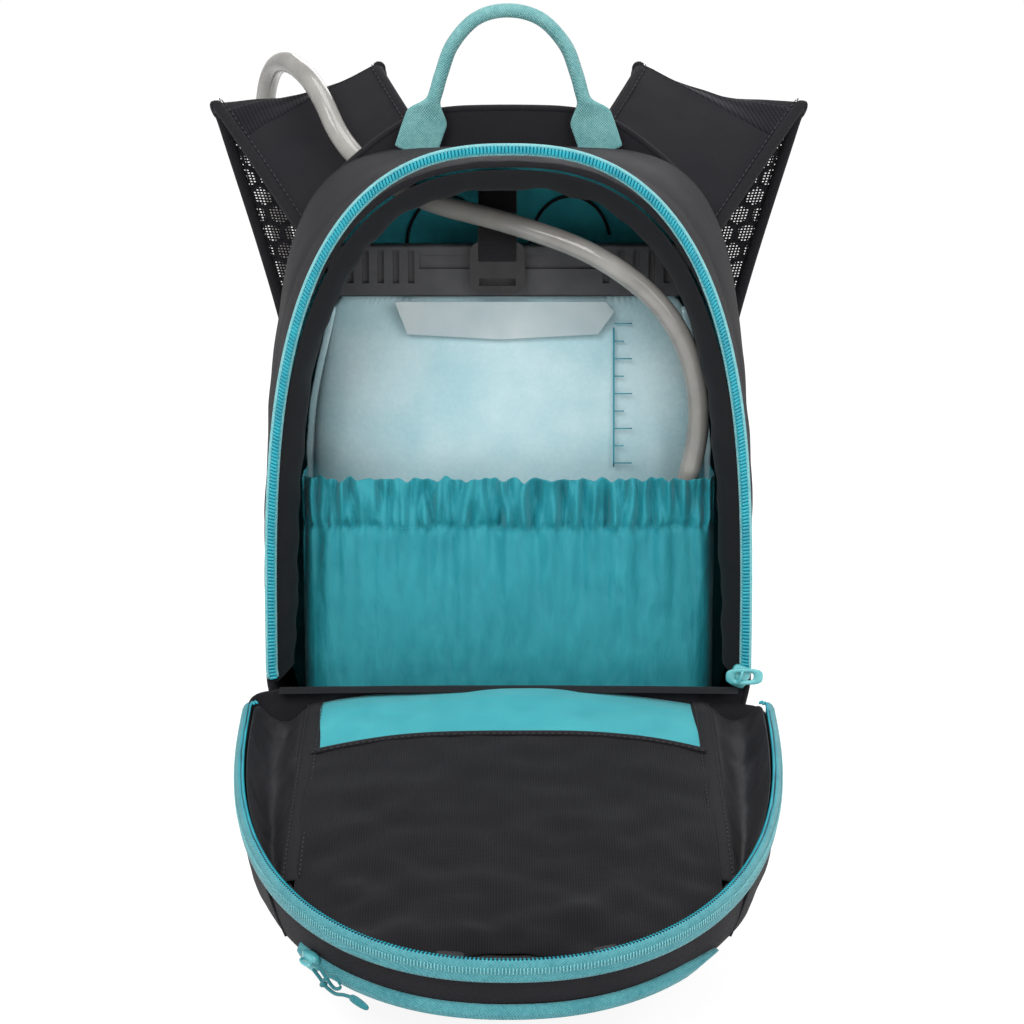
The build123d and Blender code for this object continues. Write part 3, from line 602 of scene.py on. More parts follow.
def sleeve():
    """Satin sleeve with a gathered elastic hem."""
    half, radius, top, low, front_y = 101.0, 16.0, 196.0, 60.0, -16.5
    profile = [(-half, 49.0), (-half, front_y + radius)]
    profile += [tuple(p) for p in corner((-half, front_y + radius), (-half, front_y),
        (-half + radius, front_y))]
    profile += [tuple(p) for p in corner((half - radius, front_y), (half, front_y),
        (half, front_y + radius))]
    profile += [(half, 49.0)]
    line = resample(np.array(profile), 340)
    heights = [low, 78, 97, 115, 130, 142, 152, 160, 166, 170, 172.5, 175, 178, 182, 186, 189.5, 192.5,
        194.5, top]
    rows = []
    for z in heights:
        lift = max(0.0, (z - 120) / (top - 120))
        hem = 1.0 if z > 172 else 0.0
        points = []
        for i, (x, y) in enumerate(line):
            wide = 1 - (x / half) ** 2
            full = -3.0 * wide * math.sin(math.pi * min(1, (z - low) / 170)) if y < 0 else 0
            folds = ripple((i * 1.0, 0, z * 0.08), 7.5, 8.0 * lift, 2.0)
            folds += ripple((i * 1.0, 0, z * 0.05), 24.0, 2.6, 6.0)
            gather = ripple((i * 1.0, 0, z * 0.2), 3.9, 7.0 * hem, 4.0)
            pinch = 2.0 if abs(z - 172.5) < 1 else 0.0
            crest = ripple((i * 1.0, 0, 0), 5.0, 2.4, 7.0) if z > 190 else 0.0
            inward = folds + gather + full + pinch
            points.append((x * (1 - 0.004 * pinch), y + (inward if y < 30 else 0), z + crest))
        rows.append(points)
    cloth = add("sleeve_cloth", np.vstack(rows), grid_faces(len(rows), len(line)), TEAL_SLEEVE, "pack",
        "teal_lining", ["reservoir_sleeve", "sleeve_elastic"], smooth=1, wall=0.8, offset=0)
    stitch_row = np.array(rows[10])
    seam = stitch_row[(stitch_row[:, 1] < 0)] + np.array([0, -1.0, 0])
    add("sleeve_stitch", *stitches(seam, 1.7, 1.2, 0.25), TEAL_LINING, "pack", "teal_lining")


def reservoir():
    """Filled film bag with welded edges, and its scale."""
    stations = [(16, 62, 8), (28, 76, 18), (50, 88, 27), (90, 94, 33), (130, 96, 34), (175, 97, 33),
        (205, 98, 29), (228, 96, 23), (248, 92, 16), (264, 88, 9.5), (276, 86, 5), (290, 85, 3)]
    count = 120
    rows = []
    for z, half, thick in stations:
        row = []
        for i in range(count):
            a = 2 * math.pi * i / count
            c, s = math.cos(a), math.sin(a)
            x = half * bent(c, 0.62)
            y = 24 + thick / 2 * bent(s, 0.8)
            p = (x, y, z)
            sag = ripple(p, 30, 2.2, 5.0) + ripple(p, 12, 0.8, 1.0)
            y += sag * (0.1 if z > 240 else 1.0) * (1 - abs(x / 100) ** 4)
            row.append((x, y, z))
        rows.append(row)
    faces = capped(len(rows), count)
    add("reservoir_film", np.vstack(rows), faces, BAG_FILM, "pack", "bag_film", ["reservoir_bag"], smooth=1)
    welds = []
    for side in (-1, 1):
        path = [(side * (half + 1.0), 24, z) for z, half, _ in stations[1:-1]]
        welds.append(tube_along(resample(np.array(path), 60), 2.6, 8, (0, 1, 0), flat=0.35))
    add("reservoir_welds", *joined(welds), BAG_FILM, "pack", "bag_film")
    marks = []
    for k in range(9):
        z = 200 + 8.5 * k
        long = 9 if k % 2 == 0 else 5
        y = 24 - np.interp(z, [s[0] for s in stations], [s[2] for s in stations]) / 2 - 1.6
        marks.append(tube_along([(52, y, z), (52 + long / 2, y, z), (52 + long, y, z)], 0.5, 5, (0, 0, 1),
            flat=0.6))
    heights, thicks = [s[0] for s in stations], [s[2] for s in stations]
    spine = [(52, 24 - np.interp(z, heights, thicks) / 2 - 1.5, z) for z in range(198, 270, 4)]
    marks.append(tube_along(spine, 0.45, 5, (0, 1, 0)))
    add("reservoir_scale", *joined(marks), PRINT, "pack", "bag_film")


# ---------------------------------------------------------------- flap

def flap_shell():
    """Outer cloth of the flap: rim, wall and crowned face."""
    rows = []
    for depth in (0, 1.5, 6, 13, 20, 25, 27.5, 31, 35, 38.5, 40):
        line = flap_outline(depth)
        points = at_depth(line, FLAP_Y - depth)
        swell = 1.0 * math.sin(math.pi * min(1, depth / 40))
        center = np.array([0, FLAP_Y, 215.0])
        for i, p in enumerate(points):
            out = p - center
            out[1] = 0
            out /= np.linalg.norm(out) + 1e-9
            calm = 1 - 0.8 * min(1, max(0, (p[2] - 225) / 70))
            amount = swell + ripple(p, 26, 2.0 * calm * min(1, depth / 10), 1.0) + ripple(p, 8, 0.4 * calm)
            points[i] = p + out * amount * min(1, max(0, p[2] - 103) / 20)
            if p[0] > 92 and p[2] < 116:
                points[i, 1] = min(points[i, 1], FLAP_Y - NOTCH - depth * 0.2)
        rows.append(points)
    edge = flap_outline(40)
    center = np.array([0, 215.0])
    for share, dome in ((0.97, 1.2), (0.9, 2.0), (0.78, 2.6), (0.6, 3.2), (0.4, 3.6), (0.2, 3.8),
            (0.06, 3.9)):
        points = at_depth(center + (edge - center) * share, FLAP_Y - 40 - dome)
        for i, p in enumerate(points):
            points[i, 1] += ripple(p, 40, 2.0, 8.0)
        rows.append(points)
    count = len(rows[0])
    faces = grid_faces(len(rows), count, closed=True)
    faces.append(tuple((len(rows) - 1) * count + k for k in range(count)))
    vertices = swing(np.vstack(rows))
    add("flap_cloth", vertices, faces, BLACK, "flap", "shell_fabric", ["flap_shell"], smooth=1, wall=1.2)


def flap_zip():
    """Half of the main zip on the flap: tape on the outside of the wall, coil along the rim."""
    rows = []
    for depth, off in ((0.9, -0.6), (0.5, 0.7), (1.6, 2.0), (4.5, 2.5), (8.0, 2.9), (9.2, 2.9)):
        line = flap_rim(depth, -off, 520, start=ZIP_START)
        rows.append(at_depth(line, FLAP_Y - depth))
    add("flap_zip_tape_cloth", swing(np.vstack(rows)), grid_faces(len(rows), 520), TAPE, "flap", "zip_tape",
        ["flap_zip_tape"], wall=0.6, offset=0)
    line = flap_rim(0, 0.6, 520, start=ZIP_START)
    across = outward(line)
    teeth = coil_teeth(at_depth(line, FLAP_Y - 0.8), at_depth(across, 0.0), np.zeros(3), 1.7, 0.78)
    add("flap_zip_teeth", swing(teeth[0]), teeth[1], COIL, "flap", "zip_teal", ["flap_zip_coil"])
    rungs = []
    low = flap_rim(5.2, -3.1, 420, start=ZIP_START)
    high = flap_rim(2.4, -2.7, 420, start=ZIP_START)
    for a, b in list(zip(low, high))[3:]:
        p, q = np.array([a[0], FLAP_Y - 5.2, a[1]]), np.array([b[0], FLAP_Y - 2.4, b[1]])
        rungs.append(tube_along([p, (p + q) / 2, q], 0.3, 5, (1, 0, 0.3)))
    v, f = joined(rungs)
    add("flap_zip_ladder", swing(v), f, TAPE_PALE, "flap", "zip_tape")


def rim_half(z):
    """Half the flap's width at a height, with the flap shut."""
    base = FLAP_BASE + FLAP_CORNER
    share = max(0.0, (z - base) / (FLAP_TOP - base))
    up, side = FLAP_POWERS
    return FLAP_HALF * (1 - min(1.0, share) ** up) ** (1 / side)


def pocket_depth(x, z):
    """How deep the pocket's inner side lies under the rim, with the flap shut."""
    center = np.interp(z, [101, 118, 160, 230, 312, 330], [0.0, -3.0, -2.0, 1.5, 10.0, 16.0])
    return center + 8.5 * (abs(x) / 95) ** 2.4


def flap_inside():
    """Pocket side of the flap: satin strip, stretch panel with its hem, bindings and coated side linings."""
    def panel(name, x_limit, z0, z1, columns, row_count, material, slot, replaces, lift, curve=0.0,
            wrinkle=0.0):
        rows = []
        for z in np.linspace(z0, z1, row_count):
            row = []
            reach = min(x_limit, rim_half(z) - 6)
            for x in np.linspace(-reach, reach, columns):
                zz = z + curve * (1 - (x / x_limit) ** 2) * (z1 - z) / (z1 - z0)
                far = max(0, (zz - z0) / (z1 - z0))
                soft = ripple((x, 0, zz), 16, wrinkle * (0.35 + 1.2 * far ** 2), 3.0)
                soft += ripple((x, 0, zz), 45, 1.5, 5.0)
                row.append((x, FLAP_Y - pocket_depth(x, zz) + lift + soft, zz))
            rows.append(row)
        faces = grid_faces(row_count, columns)
        return add(name, swing(np.vstack(rows)), faces, material, "flap", slot, replaces, 1, 0.8, 0)

    panel("flap_strip", 90, 102, 161, 61, 16, TEAL_STRIP, "teal_lining", ["flap_band"], 0.6)
    stretch = panel("flap_stretch", 91, 158, 323, 91, 60, STRETCH, "stretch", ["flap_stretch_pocket"], 1.8,
        -4.0, 2.4)
    hem = []
    for x in np.linspace(-91, 91, 80):
        z = 159.5 - 4.0 * (1 - (x / 91) ** 2)
        hem.append((x, FLAP_Y - pocket_depth(x, z) + 2.4 + ripple((x, 0, z), 45, 1.5, 5.0), z))
    v, f = tube_along(hem, 2.2, 8, (0, 1, 0), flat=0.45)
    add("flap_hem", swing(v), f, BINDING, "flap", "stretch")
    stitch = [(x, y + 1.2, z + 2.4) for x, y, z in hem]
    v, f = stitches(stitch, 1.8, 1.2, 0.25)
    add("flap_hem_stitch", swing(v), f, THREAD, "flap", "stretch")
    bindings, threads = [], []
    for side in (-1, 1):
        rows = []
        for z in np.linspace(102, 264, 60):
            row = []
            for x in np.linspace(87, 98, 6):
                row.append((side * x, FLAP_Y - pocket_depth(x, z) + 1.6 - 0.06 * (x - 92.5) ** 2, z))
            rows.append(row)
        bindings.append((np.vstack(rows), grid_faces(60, 6)))
        for x in (89, 96):
            line = [(side * x, FLAP_Y - pocket_depth(x, z) + 2.0, z) for z in np.linspace(103, 263, 80)]
            threads.append(stitches(line, 2.0, 1.3, 0.25))
    v, f = joined(bindings)
    add("flap_bindings", swing(v), f, BINDING, "flap", "shell_fabric", smooth=1, wall=1.0, offset=0)
    v, f = joined(threads)
    add("flap_binding_stitch", swing(v), f, THREAD, "flap", "shell_fabric")
    side_lining()


INNER_LINE = [
    (95, 102), (95, 258), (84, 285), (62, 308), (30, 318), (0, 321), (-30, 318), (-62, 308), (-84, 285),
    (-95, 258), (-95, 102),
]


def side_lining():
    """Coated lining between the pocket and the flap's wall."""
    outer = flap_rim(2, 2.6, 220, start=ZIP_START)
    inner = resample(np.array(INNER_LINE, float), 220)
    rows = []
    for share in np.linspace(0, 1, 14):
        line = outer + (inner - outer) * share
        points = []
        for i, (x, z) in enumerate(line):
            edge = pocket_depth(inner[i][0], inner[i][1]) + 0.5
            far = min(1.0, max(0.0, (z - 110) / 60))
            gutter = (9 + 9 * far) * math.sin(math.pi * min(1, share * 1.15)) ** 0.8
            depth = 2 + (edge - 2) * share + gutter
            soft = ripple((x, share * 20, z), 14, 2.2 * math.sin(math.pi * share), 2.0)
            points.append((x, FLAP_Y - depth + soft, z))
        rows.append(points)
    add("flap_side_lining", swing(np.vstack(rows)), grid_faces(14, 220), COATED, "flap", "shell_fabric",
        ["flap_pocket"], smooth=1, wall=0.8, offset=0)


def pocket_zip():
    """Closed zip of the flap's outside pocket, tapering to a point at its right end."""
    full = flap_rim(24, -1.6, 700)
    keep = full[full[:, 1] > 296]
    line = resample(keep, 260)
    across = outward(line)
    rows = []
    for k, share in enumerate((-1, -0.85, -0.3, -0.12, 0.12, 0.3, 0.85, 1)):
        points = []
        for i, (x, z) in enumerate(line):
            end = min(1, i / 28) ** 0.7
            half = 3.4 * max(0.08, end)
            lift = (-0.2, 1.2, 1.6, 2.2, 2.2, 1.6, 1.2, -0.2)[k]
            depth = 24.8 + share * half
            points.append((x + across[i, 0] * lift, FLAP_Y - depth, z + across[i, 1] * lift))
        rows.append(points)
    add("pocket_zip_band", swing(np.vstack(rows)), grid_faces(8, 260), TAPE, "flap", "zip_tape",
        ["pocket_zip"], smooth=1, wall=0.8, offset=0)


def seam_lines():
    """Raised seams on the flap's wall, one on each side."""
    parts = []
    for side in (-1, 1):
        line = []
        for depth in (9.5, 14, 18, 22, 26.5):
            rim = flap_rim(depth, -1.9, 300)
            half = rim[:150] if side > 0 else rim[150:]
            x, z = half[np.argmin(np.abs(half[:, 1] - 262 - depth * 0.8))]
            line.append((x, FLAP_Y - depth, z))
        parts.append(tube_along(smooth_line(line, 40), 0.7, 7, (0, 0, 1)))
    v, f = joined(parts)
    add("flap_seams", swing(v), f, BINDING, "flap", "shell_fabric")


# ---------------------------------------------------------------- sliders and pulls

def slider_body(center, out, along, size):
    """A rounded zip slider at a place, facing out, lying along the zip."""
    out, along = np.array(out, float), np.array(along, float)
    side = np.cross(out, along)
    length, width, height = size
    rows = []
    for t, w, h in ((-0.5, 0.55, 0.3), (-0.42, 0.8, 0.7), (-0.2, 0.9, 1.0), (0.15, 1.0, 1.0),
            (0.38, 0.95, 0.8), (0.5, 0.7, 0.4)):
        for k in range(12):
            a = 2 * math.pi * k / 12
            c, s = math.cos(a), math.sin(a)
            x = bent(c, 0.5) * width / 2 * w
            y = bent(s, 0.5) * height / 2 * h
            rows.append(center + along * t * length + side * x + out * y)
    faces = capped(6, 12)
    bridge = [center + along * (t * length) + out * (height / 2 + b) for t, b in
              ((-0.32, -0.5), (-0.3, 1.0), (-0.1, 1.7), (0.15, 1.7), (0.32, 1.0), (0.34, -0.5))]
    return joined([(rows, faces), tube_along(bridge, 0.75, 8, side)])


def main_slider():
    """Main zip's slider at the right end, and its tab."""
    x, z = 111.0, HINGE_Z + 5.0
    v, f = slider_body(np.array([x, ZIP_Y - 3.0, z]), (0, -1, 0), (0.35, 0, 0.94), (11, 9.5, 5.0))
    add("main_slider_body", v, f, ENAMEL, "zip_slider", "slider", ["main_zip_slider"], smooth=2)
    outline = []
    for k in range(40):
        a = 2 * math.pi * k / 40
        c, s = math.cos(a), math.sin(a)
        outline.append((113.0 + 9.0 * bent(c, 0.6), z + 0.5 + 4.0 * bent(s, 0.6)))
    outline = np.array(outline)
    hole = outline.mean(axis=0) + (outline - outline.mean(axis=0)) * 0.5
    y0, y1 = ZIP_Y - 6.9, ZIP_Y - 5.4
    rows = [at_depth(hole, y1), at_depth(outline * 0.98 + outline.mean(axis=0) * 0.02, y1),
        at_depth(outline, (y0 + y1) / 2), at_depth(outline * 0.98 + outline.mean(axis=0) * 0.02, y0),
        at_depth(hole, y0), at_depth(hole, y1)]
    add("main_slider_tab", np.vstack(rows), grid_faces(6, 40, closed=True), ENAMEL, "zip_pull", "slider",
        ["main_zip_pull"], smooth=1)


def pocket_pull():
    """Slider of the outside pocket and its knotted cord."""
    low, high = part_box("pocket_zip_slider")
    center = (np.array(low) + np.array(high)) / 2 / MM
    pull_low, pull_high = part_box("pocket_zip_pull")
    away = (np.array(pull_low) + np.array(pull_high)) / 2 / MM - center
    along = away / np.linalg.norm(away)
    down = np.array([0, 0.208, -0.978])
    out = np.cross(along, down)
    if out[1] > 0:
        out = -out
    v, f = slider_body(center, out, along, (11, 8, 4.5))
    add("pocket_slider_body", v, f, ENAMEL, "flap", "slider", ["pocket_zip_slider"], smooth=2)
    tail = center + out * 2.5
    def spot(a, b, c):
        return tail + along * a + down * b + out * c
    strands = [
        [spot(5, -1, 0), spot(10, -2.5, 0.5), spot(16, -0.5, 1), spot(21, 2.5, 0.5), spot(25, 0.5, 0),
            spot(23, -2.5, 0), spot(18, -1.5, 0.5), spot(14, 2, 1)],
        [spot(5, 1, 0), spot(10, 3, 0), spot(15, 4.5, 0.5), spot(22, 4.5, 0.8), spot(28, 2.5, 0.5),
            spot(33, 1.5, 0)],
    ]
    parts = [tube_along(smooth_line(s, 40), 0.85, 8) for s in strands]
    barrel = [spot(32, 1.5, 0), spot(34, 1.6, 0), spot(41, 2.2, -0.6), spot(43.5, 2.4, -0.8)]
    parts.append(tube_along(barrel, np.array([1.2, 2.0, 1.7, 0.9]), 8))
    parts.append(capsule(spot(12.5, 4.8, 0.6), spot(14.5, 3.6, 0.6), 1.5))
    add("pocket_cord_pull", *joined(parts), CORD, "pocket_pull", "zip_teal", ["pocket_zip_pull"], smooth=1)


def smooth_line(points, count):
    """A smooth line through a few points."""
    p = np.array(points, float)
    p = np.vstack([2 * p[0] - p[1], p, 2 * p[-1] - p[-2]])
    found = []
    for a, b, c, d in zip(p, p[1:], p[2:], p[3:]):
        for t in np.linspace(0, 1, 12, endpoint=False):
            square, cube = 2 * a - 5 * b + 4 * c - d, 3 * b - a - 3 * c + d
            found.append(0.5 * (2 * b + (c - a) * t + square * t * t + cube * t ** 3))
    found.append(p[-2])
    return resample(np.array(found), count)


# ---------------------------------------------------------------- harness

STATIONS = [
    ((-98, 57.9, 300), (-40, 57.9, 354), (0, 0.55, -0.83)),
    ((-150, 110, 369), (-66, 110, 391), (0, 0.50, -0.86)),
    ((-155, 116, 373), (-66, 116, 395), (0, -0.2, -1)),
    ((-154, 122, 369), (-66, 122, 391), (0, -1, -0.5)),
    ((-150, 124, 358), (-64, 124, 380), (0, -1, 0)),
    ((-119, 121, 252), (-45, 121, 262), (0, -1, 0)),
    ((-98, 112, 140), (-62, 112, 142), (0, -1, 0)),
]


def strap_lines(side):
    """Edges and outward directions of a strap, evenly spaced along it."""
    flip = np.array([1 if side < 0 else -1, 1, 1])
    outer = smooth_line([np.array(s[0]) * flip for s in STATIONS], 150)
    inner = smooth_line([np.array(s[1]) * flip for s in STATIONS], 150)
    normal = smooth_line([np.array(s[2], float) for s in STATIONS], 150)
    normal /= np.linalg.norm(normal, axis=1)[:, None]
    return outer, inner, normal


def strap_pad(outer, inner, normal, rows, swell, sink=1.0):
    """A closed soft slab between a strap's edges, over some of its rows."""
    columns = 22
    layers = []
    for i in rows:
        ring = []
        for k in range(2 * columns):
            share = k / (columns - 1) if k < columns else (2 * columns - 1 - k) / (columns - 1)
            edge = 1 - abs(2 * share - 1) ** 4
            base = outer[i] + (inner[i] - outer[i]) * share
            depth = -swell * edge if k < columns else STRAP_THICK * 0.6 + swell * 0.5 * edge
            depth += ripple(base, 15, 0.9, 4.0)
            ring.append(base + normal[i] * (depth + sink))
        layers.append(ring)
    count = 2 * columns
    return np.vstack(layers), capped(len(layers), count)


def hex_holes(outer, inner, normal, first, last):
    """Open hexagonal mesh between a strap's edges, from one row to another."""
    size = 6.6
    run = np.concatenate([[0], np.cumsum(np.linalg.norm(np.diff((outer + inner) / 2, axis=0), axis=1))])
    start, stop = run[first], run[last]
    rows_step, column_step = size * 1.5, size * math.sqrt(3)
    vertices, faces = [], []
    def at(u, v):
        row = np.interp(v, run, np.arange(len(run)))
        i = min(int(row), len(run) - 2)
        t = row - i
        o, n = outer[i] + (outer[i + 1] - outer[i]) * t, inner[i] + (inner[i + 1] - inner[i]) * t
        middle, across = (o + n) / 2, (n - o)
        width = np.linalg.norm(across)
        u = max(1.5 - width / 2, min(width / 2 - 1.5, u))
        return middle + across / width * u + normal[i] * 1.2, width
    for r in range(int((stop - start) / rows_step)):
        v = start + (r + 0.5) * rows_step
        width = at(0, v)[1]
        reach = int(width / 2 / column_step) + 1
        for c in range(-reach, reach + 1):
            u = (c + 0.5 * (r % 2)) * column_step
            if abs(u) > width / 2 - 1.0:
                continue
            first_vertex = len(vertices)
            for scale in (1.0, 0.75):
                for k in range(6):
                    a = math.radians(60 * k + 30)
                    vertices.append(at(u + size * scale * math.cos(a), v + size * scale * math.sin(a))[0])
            for k in range(6):
                n = (k + 1) % 6
                faces.append((first_vertex + k, first_vertex + n, first_vertex + 6 + n,
                    first_vertex + 6 + k))
    threads = []
    for v in np.arange(start, stop, NET_PITCH):
        width = at(0, v)[1]
        threads.append([at(u, v)[0] for u in np.linspace(-width / 2 + 2, width / 2 - 2, 24)])
    for share in np.linspace(-0.48, 0.48, 48):
        threads.append([at(share * at(0, v)[1], v)[0] for v in np.linspace(start, stop, 60)])
    net = [tube_along(t, 0.17, 4, (0.3, 1, 0.2)) for t in threads]
    return joined([(vertices, faces)] + net)


def straps():
    """Both shoulder straps: solid over the shoulder, open hex mesh down to the ladder lock."""
    for side, word in ((-1, "left"), (1, "right")):
        outer, inner, normal = strap_lines(side)
        top = 53
        pad = strap_pad(outer, inner, normal, range(0, top), 1.2)
        piece = add(f"strap_top_{word}", *pad, BLACK, "pack", "mesh", [f"shoulder_strap_{word}"], smooth=1)
        band = strap_pad(outer, inner, normal, range(33, 44), 1.0, 0.2)
        add(f"strap_band_{word}", *band, AIR_MESH, "pack", "mesh", smooth=1)
        v, f = hex_holes(outer, inner, normal, top - 2, 147)
        add(f"strap_mesh_{word}", v, f, HEX_MESH, "pack", "mesh", wall=0.6, offset=0)
        edges, threads = [], []
        for line, toward in ((outer, inner), (inner, outer)):
            step = toward - line
            step /= np.linalg.norm(step, axis=1)[:, None]
            path = line + step * 1.5 + normal * 1.4
            edges.append(tube_along(path, 3.2, 10, (0, 1, 0.3), flat=0.75))
            for sign in (-1, 1):
                threads.append(stitches(line + step * 4.2 + normal * (1.2 + sign * 1.9), 2.2, 1.3, 0.3))
        add(f"strap_binding_{word}", *joined(edges), BINDING, "pack", "mesh", smooth=1)
        add(f"strap_stitch_{word}", *joined(threads), THREAD, "pack", "mesh")
        foot = strap_pad(outer, inner, normal, range(143, 150), 0.8)
        add(f"strap_foot_{word}", *foot, BINDING, "pack", "mesh", smooth=1)


def ribbon(points, across, width, thick=1.4, body="pack", name="", material=None, slot="black_web",
        replaces=()):
    """A strip of webbing along a line, with rounded edges."""
    line = smooth_line(points, 40)
    across = np.array(across, float) / np.linalg.norm(across)
    tangent = normals_along(line)
    rows = []
    for p, t in zip(line, tangent):
        n = np.cross(t, across)
        n /= np.linalg.norm(n)
        ring = []
        for k in range(20):
            a = 2 * math.pi * k / 20
            c, s = math.cos(a), math.sin(a)
            ring.append(p + across * width / 2 * bent(c, 0.35) + n * thick / 2 * bent(s, 0.6))
        rows.append(ring)
    faces = capped(len(rows), 20)
    return add(name, np.vstack(rows), faces, material or BLACK_WEB, body, slot, replaces)


def webbing():
    """Chest strap, lower straps, hang strap."""
    for side, word in ((-1, "left"), (1, "right")):
        low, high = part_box(f"sternum_web_{word}")
        y = (low[1] + high[1]) / 2 / MM
        z = (low[2] + high[2]) / 2 / MM
        ends = [(low[0] / MM, y, z), ((low[0] + high[0]) / 2 / MM, y, z), (high[0] / MM, y, z)]
        ribbon(ends, (0, 0, 1), 19, name=f"chest_web_{word}",
            body="chest_plug" if side < 0 else "chest_strap", replaces=[f"sternum_web_{word}"])
        points = [(side * 80, 108, 124), (side * 80, 107.3, 117), (side * 83, 96, 100),
            (side * 88, 74, 70), (side * 91, 57, 53)]
        ribbon(points, (1, 0, side * -0.45), 19, name=f"lower_web_{word}",
            replaces=[f"adjuster_web_{word}"])
        triangle = np.array([(60, 24), (88, 24), (106, 66), (100, 74), (78, 50)],
            float) * np.array([side, 1])
        outline = resample(triangle, 60, closed=True)
        v, f = disc(at_depth(outline, 53.7), at_depth(outline, 55.5), 0.0, 0.5)
        add(f"corner_patch_{word}", v, f, BLACK, "pack", "shell_fabric", [f"corner_tab_{word}"])
    ribbon([(-5.5, 13.6, 299), (-5.5, 13.2, 306), (-5.5, 15, 312), (-5.5, 27, 326), (-5.5, 44, 341)],
        (1, 0, 0), 19, name="hang_webbing", replaces=["hang_strap"])


def grab_loop():
    """Pale webbing loop: flat and wide at its feet, rolled to a round grip between."""
    path = [(-47, 49.5, 350), (-43, 49.5, 362), (-37, 49.6, 378), (-33.5, 49.6, 390), (-28, 49.5, 404),
        (-16, 49.5, 416.5), (0, 49.5, 420.5), (16, 49.5, 416.5), (28, 49.5, 404), (33.5, 49.6, 390),
        (37, 49.6, 378), (43, 49.5, 362), (47, 49.5, 350)]
    line = smooth_line(path, 120)
    tangent = normals_along(line)
    rows = []
    for i, (p, t) in enumerate(zip(line, tangent)):
        away = min(i, 119 - i) / 119
        roll = min(1, max(0, (away - 0.10) / 0.06))
        roll = roll * roll * (3 - 2 * roll)
        wide, thick = 10.8 + (3.5 - 10.8) * roll, 1.0 + (3.5 - 1.0) * roll
        side = np.cross(t, (0, 1, 0))
        side /= np.linalg.norm(side)
        for k in range(24):
            a = 2 * math.pi * k / 24
            c, s = math.cos(a), math.sin(a)
            power = 0.4 + 0.6 * roll
            wrinkle = 1 + 0.05 * roll * math.sin(3 * a + i * 0.15)
            level = np.array([0, 1, 0]) * thick * bent(s, power)
            rows.append(p + side * wide * bent(c, power) * wrinkle + level)
    faces = capped(120, 24)
    add("carry_loop_webbing", rows, faces, WEBBING, "carry_loop", "webbing", ["grab_loop"], smooth=1)


def yoke():
    """Collar over the top of the back, with a bound edge."""
    top = [(-90, 300), (90, 300), (95, 332), (60, 362), (38, 371.5), (0, 372.5), (-38, 371.5), (-60, 362),
        (-95, 332)]
    outline = resample(smooth_closed(top), 120)
    v, f = disc(at_depth(outline, 54.0), at_depth(outline, 57.4), 0.4, 1.0)
    add("yoke_cloth", v, f, BLACK, "pack", "shell_fabric", ["yoke_panel"])
    ring = at_depth(outline, 55.7)
    add("yoke_binding", *tube_along(ring, 2.3, 8, (0, 1, 0), closed=True), BINDING, "pack", "shell_fabric",
        smooth=1)


def smooth_closed(points):
    """A closed outline with its corners rounded."""
    p = np.array(points, float)
    for _ in range(2):
        q = 0.75 * p + 0.25 * np.roll(p, -1, axis=0)
        r = 0.25 * p + 0.75 * np.roll(p, -1, axis=0)
        p = np.empty((2 * len(q), 2))
        p[0::2], p[1::2] = q, r
    return p


def back_side():
    """Back sheet with its air-mesh pads."""
    outline = body_outline(**BACK)
    v, f = disc(at_depth(outline, 50.4), at_depth(outline, 53.0), 0.0, 0.4)
    add("back_cloth", v, f, SHEET, "pack", "sheet", ["back_sheet"])
    pads = []
    for side in (-1, 1):
        for low, high, near, far in ((56, 118, 14, 76), (128, 198, 12, 90), (208, 290, 12, 92)):
            box = smooth_closed([(side * near, low), (side * far, low), (side * far, high),
                (side * near, high)])
            outline = resample(box, 64)
            center = outline.mean(axis=0)
            rows = []
            for share, y in ((1.03, 53.5), (1.03, 54.5), (1.0, 57.5), (0.96, 60), (0.88, 62.0),
                    (0.7, 63.6), (0.4, 64.4), (0.12, 64.6)):
                points = at_depth(center + (outline - center) * share, y)
                rows.append(points)
            count = 64
            pads.append((np.vstack(rows), capped(8, count)))
    piece = add("back_pads_mesh", *joined(pads), AIR_MESH, "pack", "foam", ["back_pads"], smooth=1)


def lower_front():
    """Lower front of the body, under the fold."""
    outline = body_outline(**FRONT)
    leg = outline[(outline[:, 0] > 0) & (outline[:, 1] < 104)]
    leg = leg[np.argsort(leg[:, 1], kind="stable")]
    rows = []
    for z, y in ((0.6, -46), (2.5, -50), (10, -52.2), (28, -53.4), (50, -53), (72, -51), (90, -48.4),
            (98.3, -46.4)):
        half = np.interp(max(z, 2.5), leg[:, 1], leg[:, 0]) + 0.4
        row = []
        for x in np.linspace(-half, half, 90):
            edge = abs(x / half) ** 8
            row.append((x, y + (abs(y) - 45.4) * edge + ripple((x, y, z), 20, 0.8) * (1 - edge), z))
        rows.append(row)
    add("lower_front_cloth", np.vstack(rows), grid_faces(8, 90), BLACK, "pack", "shell_fabric",
        ["lower_front_panel"], smooth=1, wall=0.6, offset=-1.0)


def fold_cloth():
    """Cloth across the fold."""
    rows = []
    for y, z in ((-40.0, 92.0), (-44.0, 97.2), (-46.2, 99.2), (-48.6, 99.6), (-51.2, 99.0), (-54.5, 97.8)):
        rows.append([(x, y + ripple((x, y, z), 20, 0.4),
            z + 0.9 * (1 - (x / 110) ** 2)) for x in np.linspace(-110, 110, 60)])
    piece = add("fold_cloth", np.vstack(rows), grid_faces(6, 60), BLACK_FINE, None, "shell_fabric",
        ["hinge_piping"])
    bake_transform(piece)


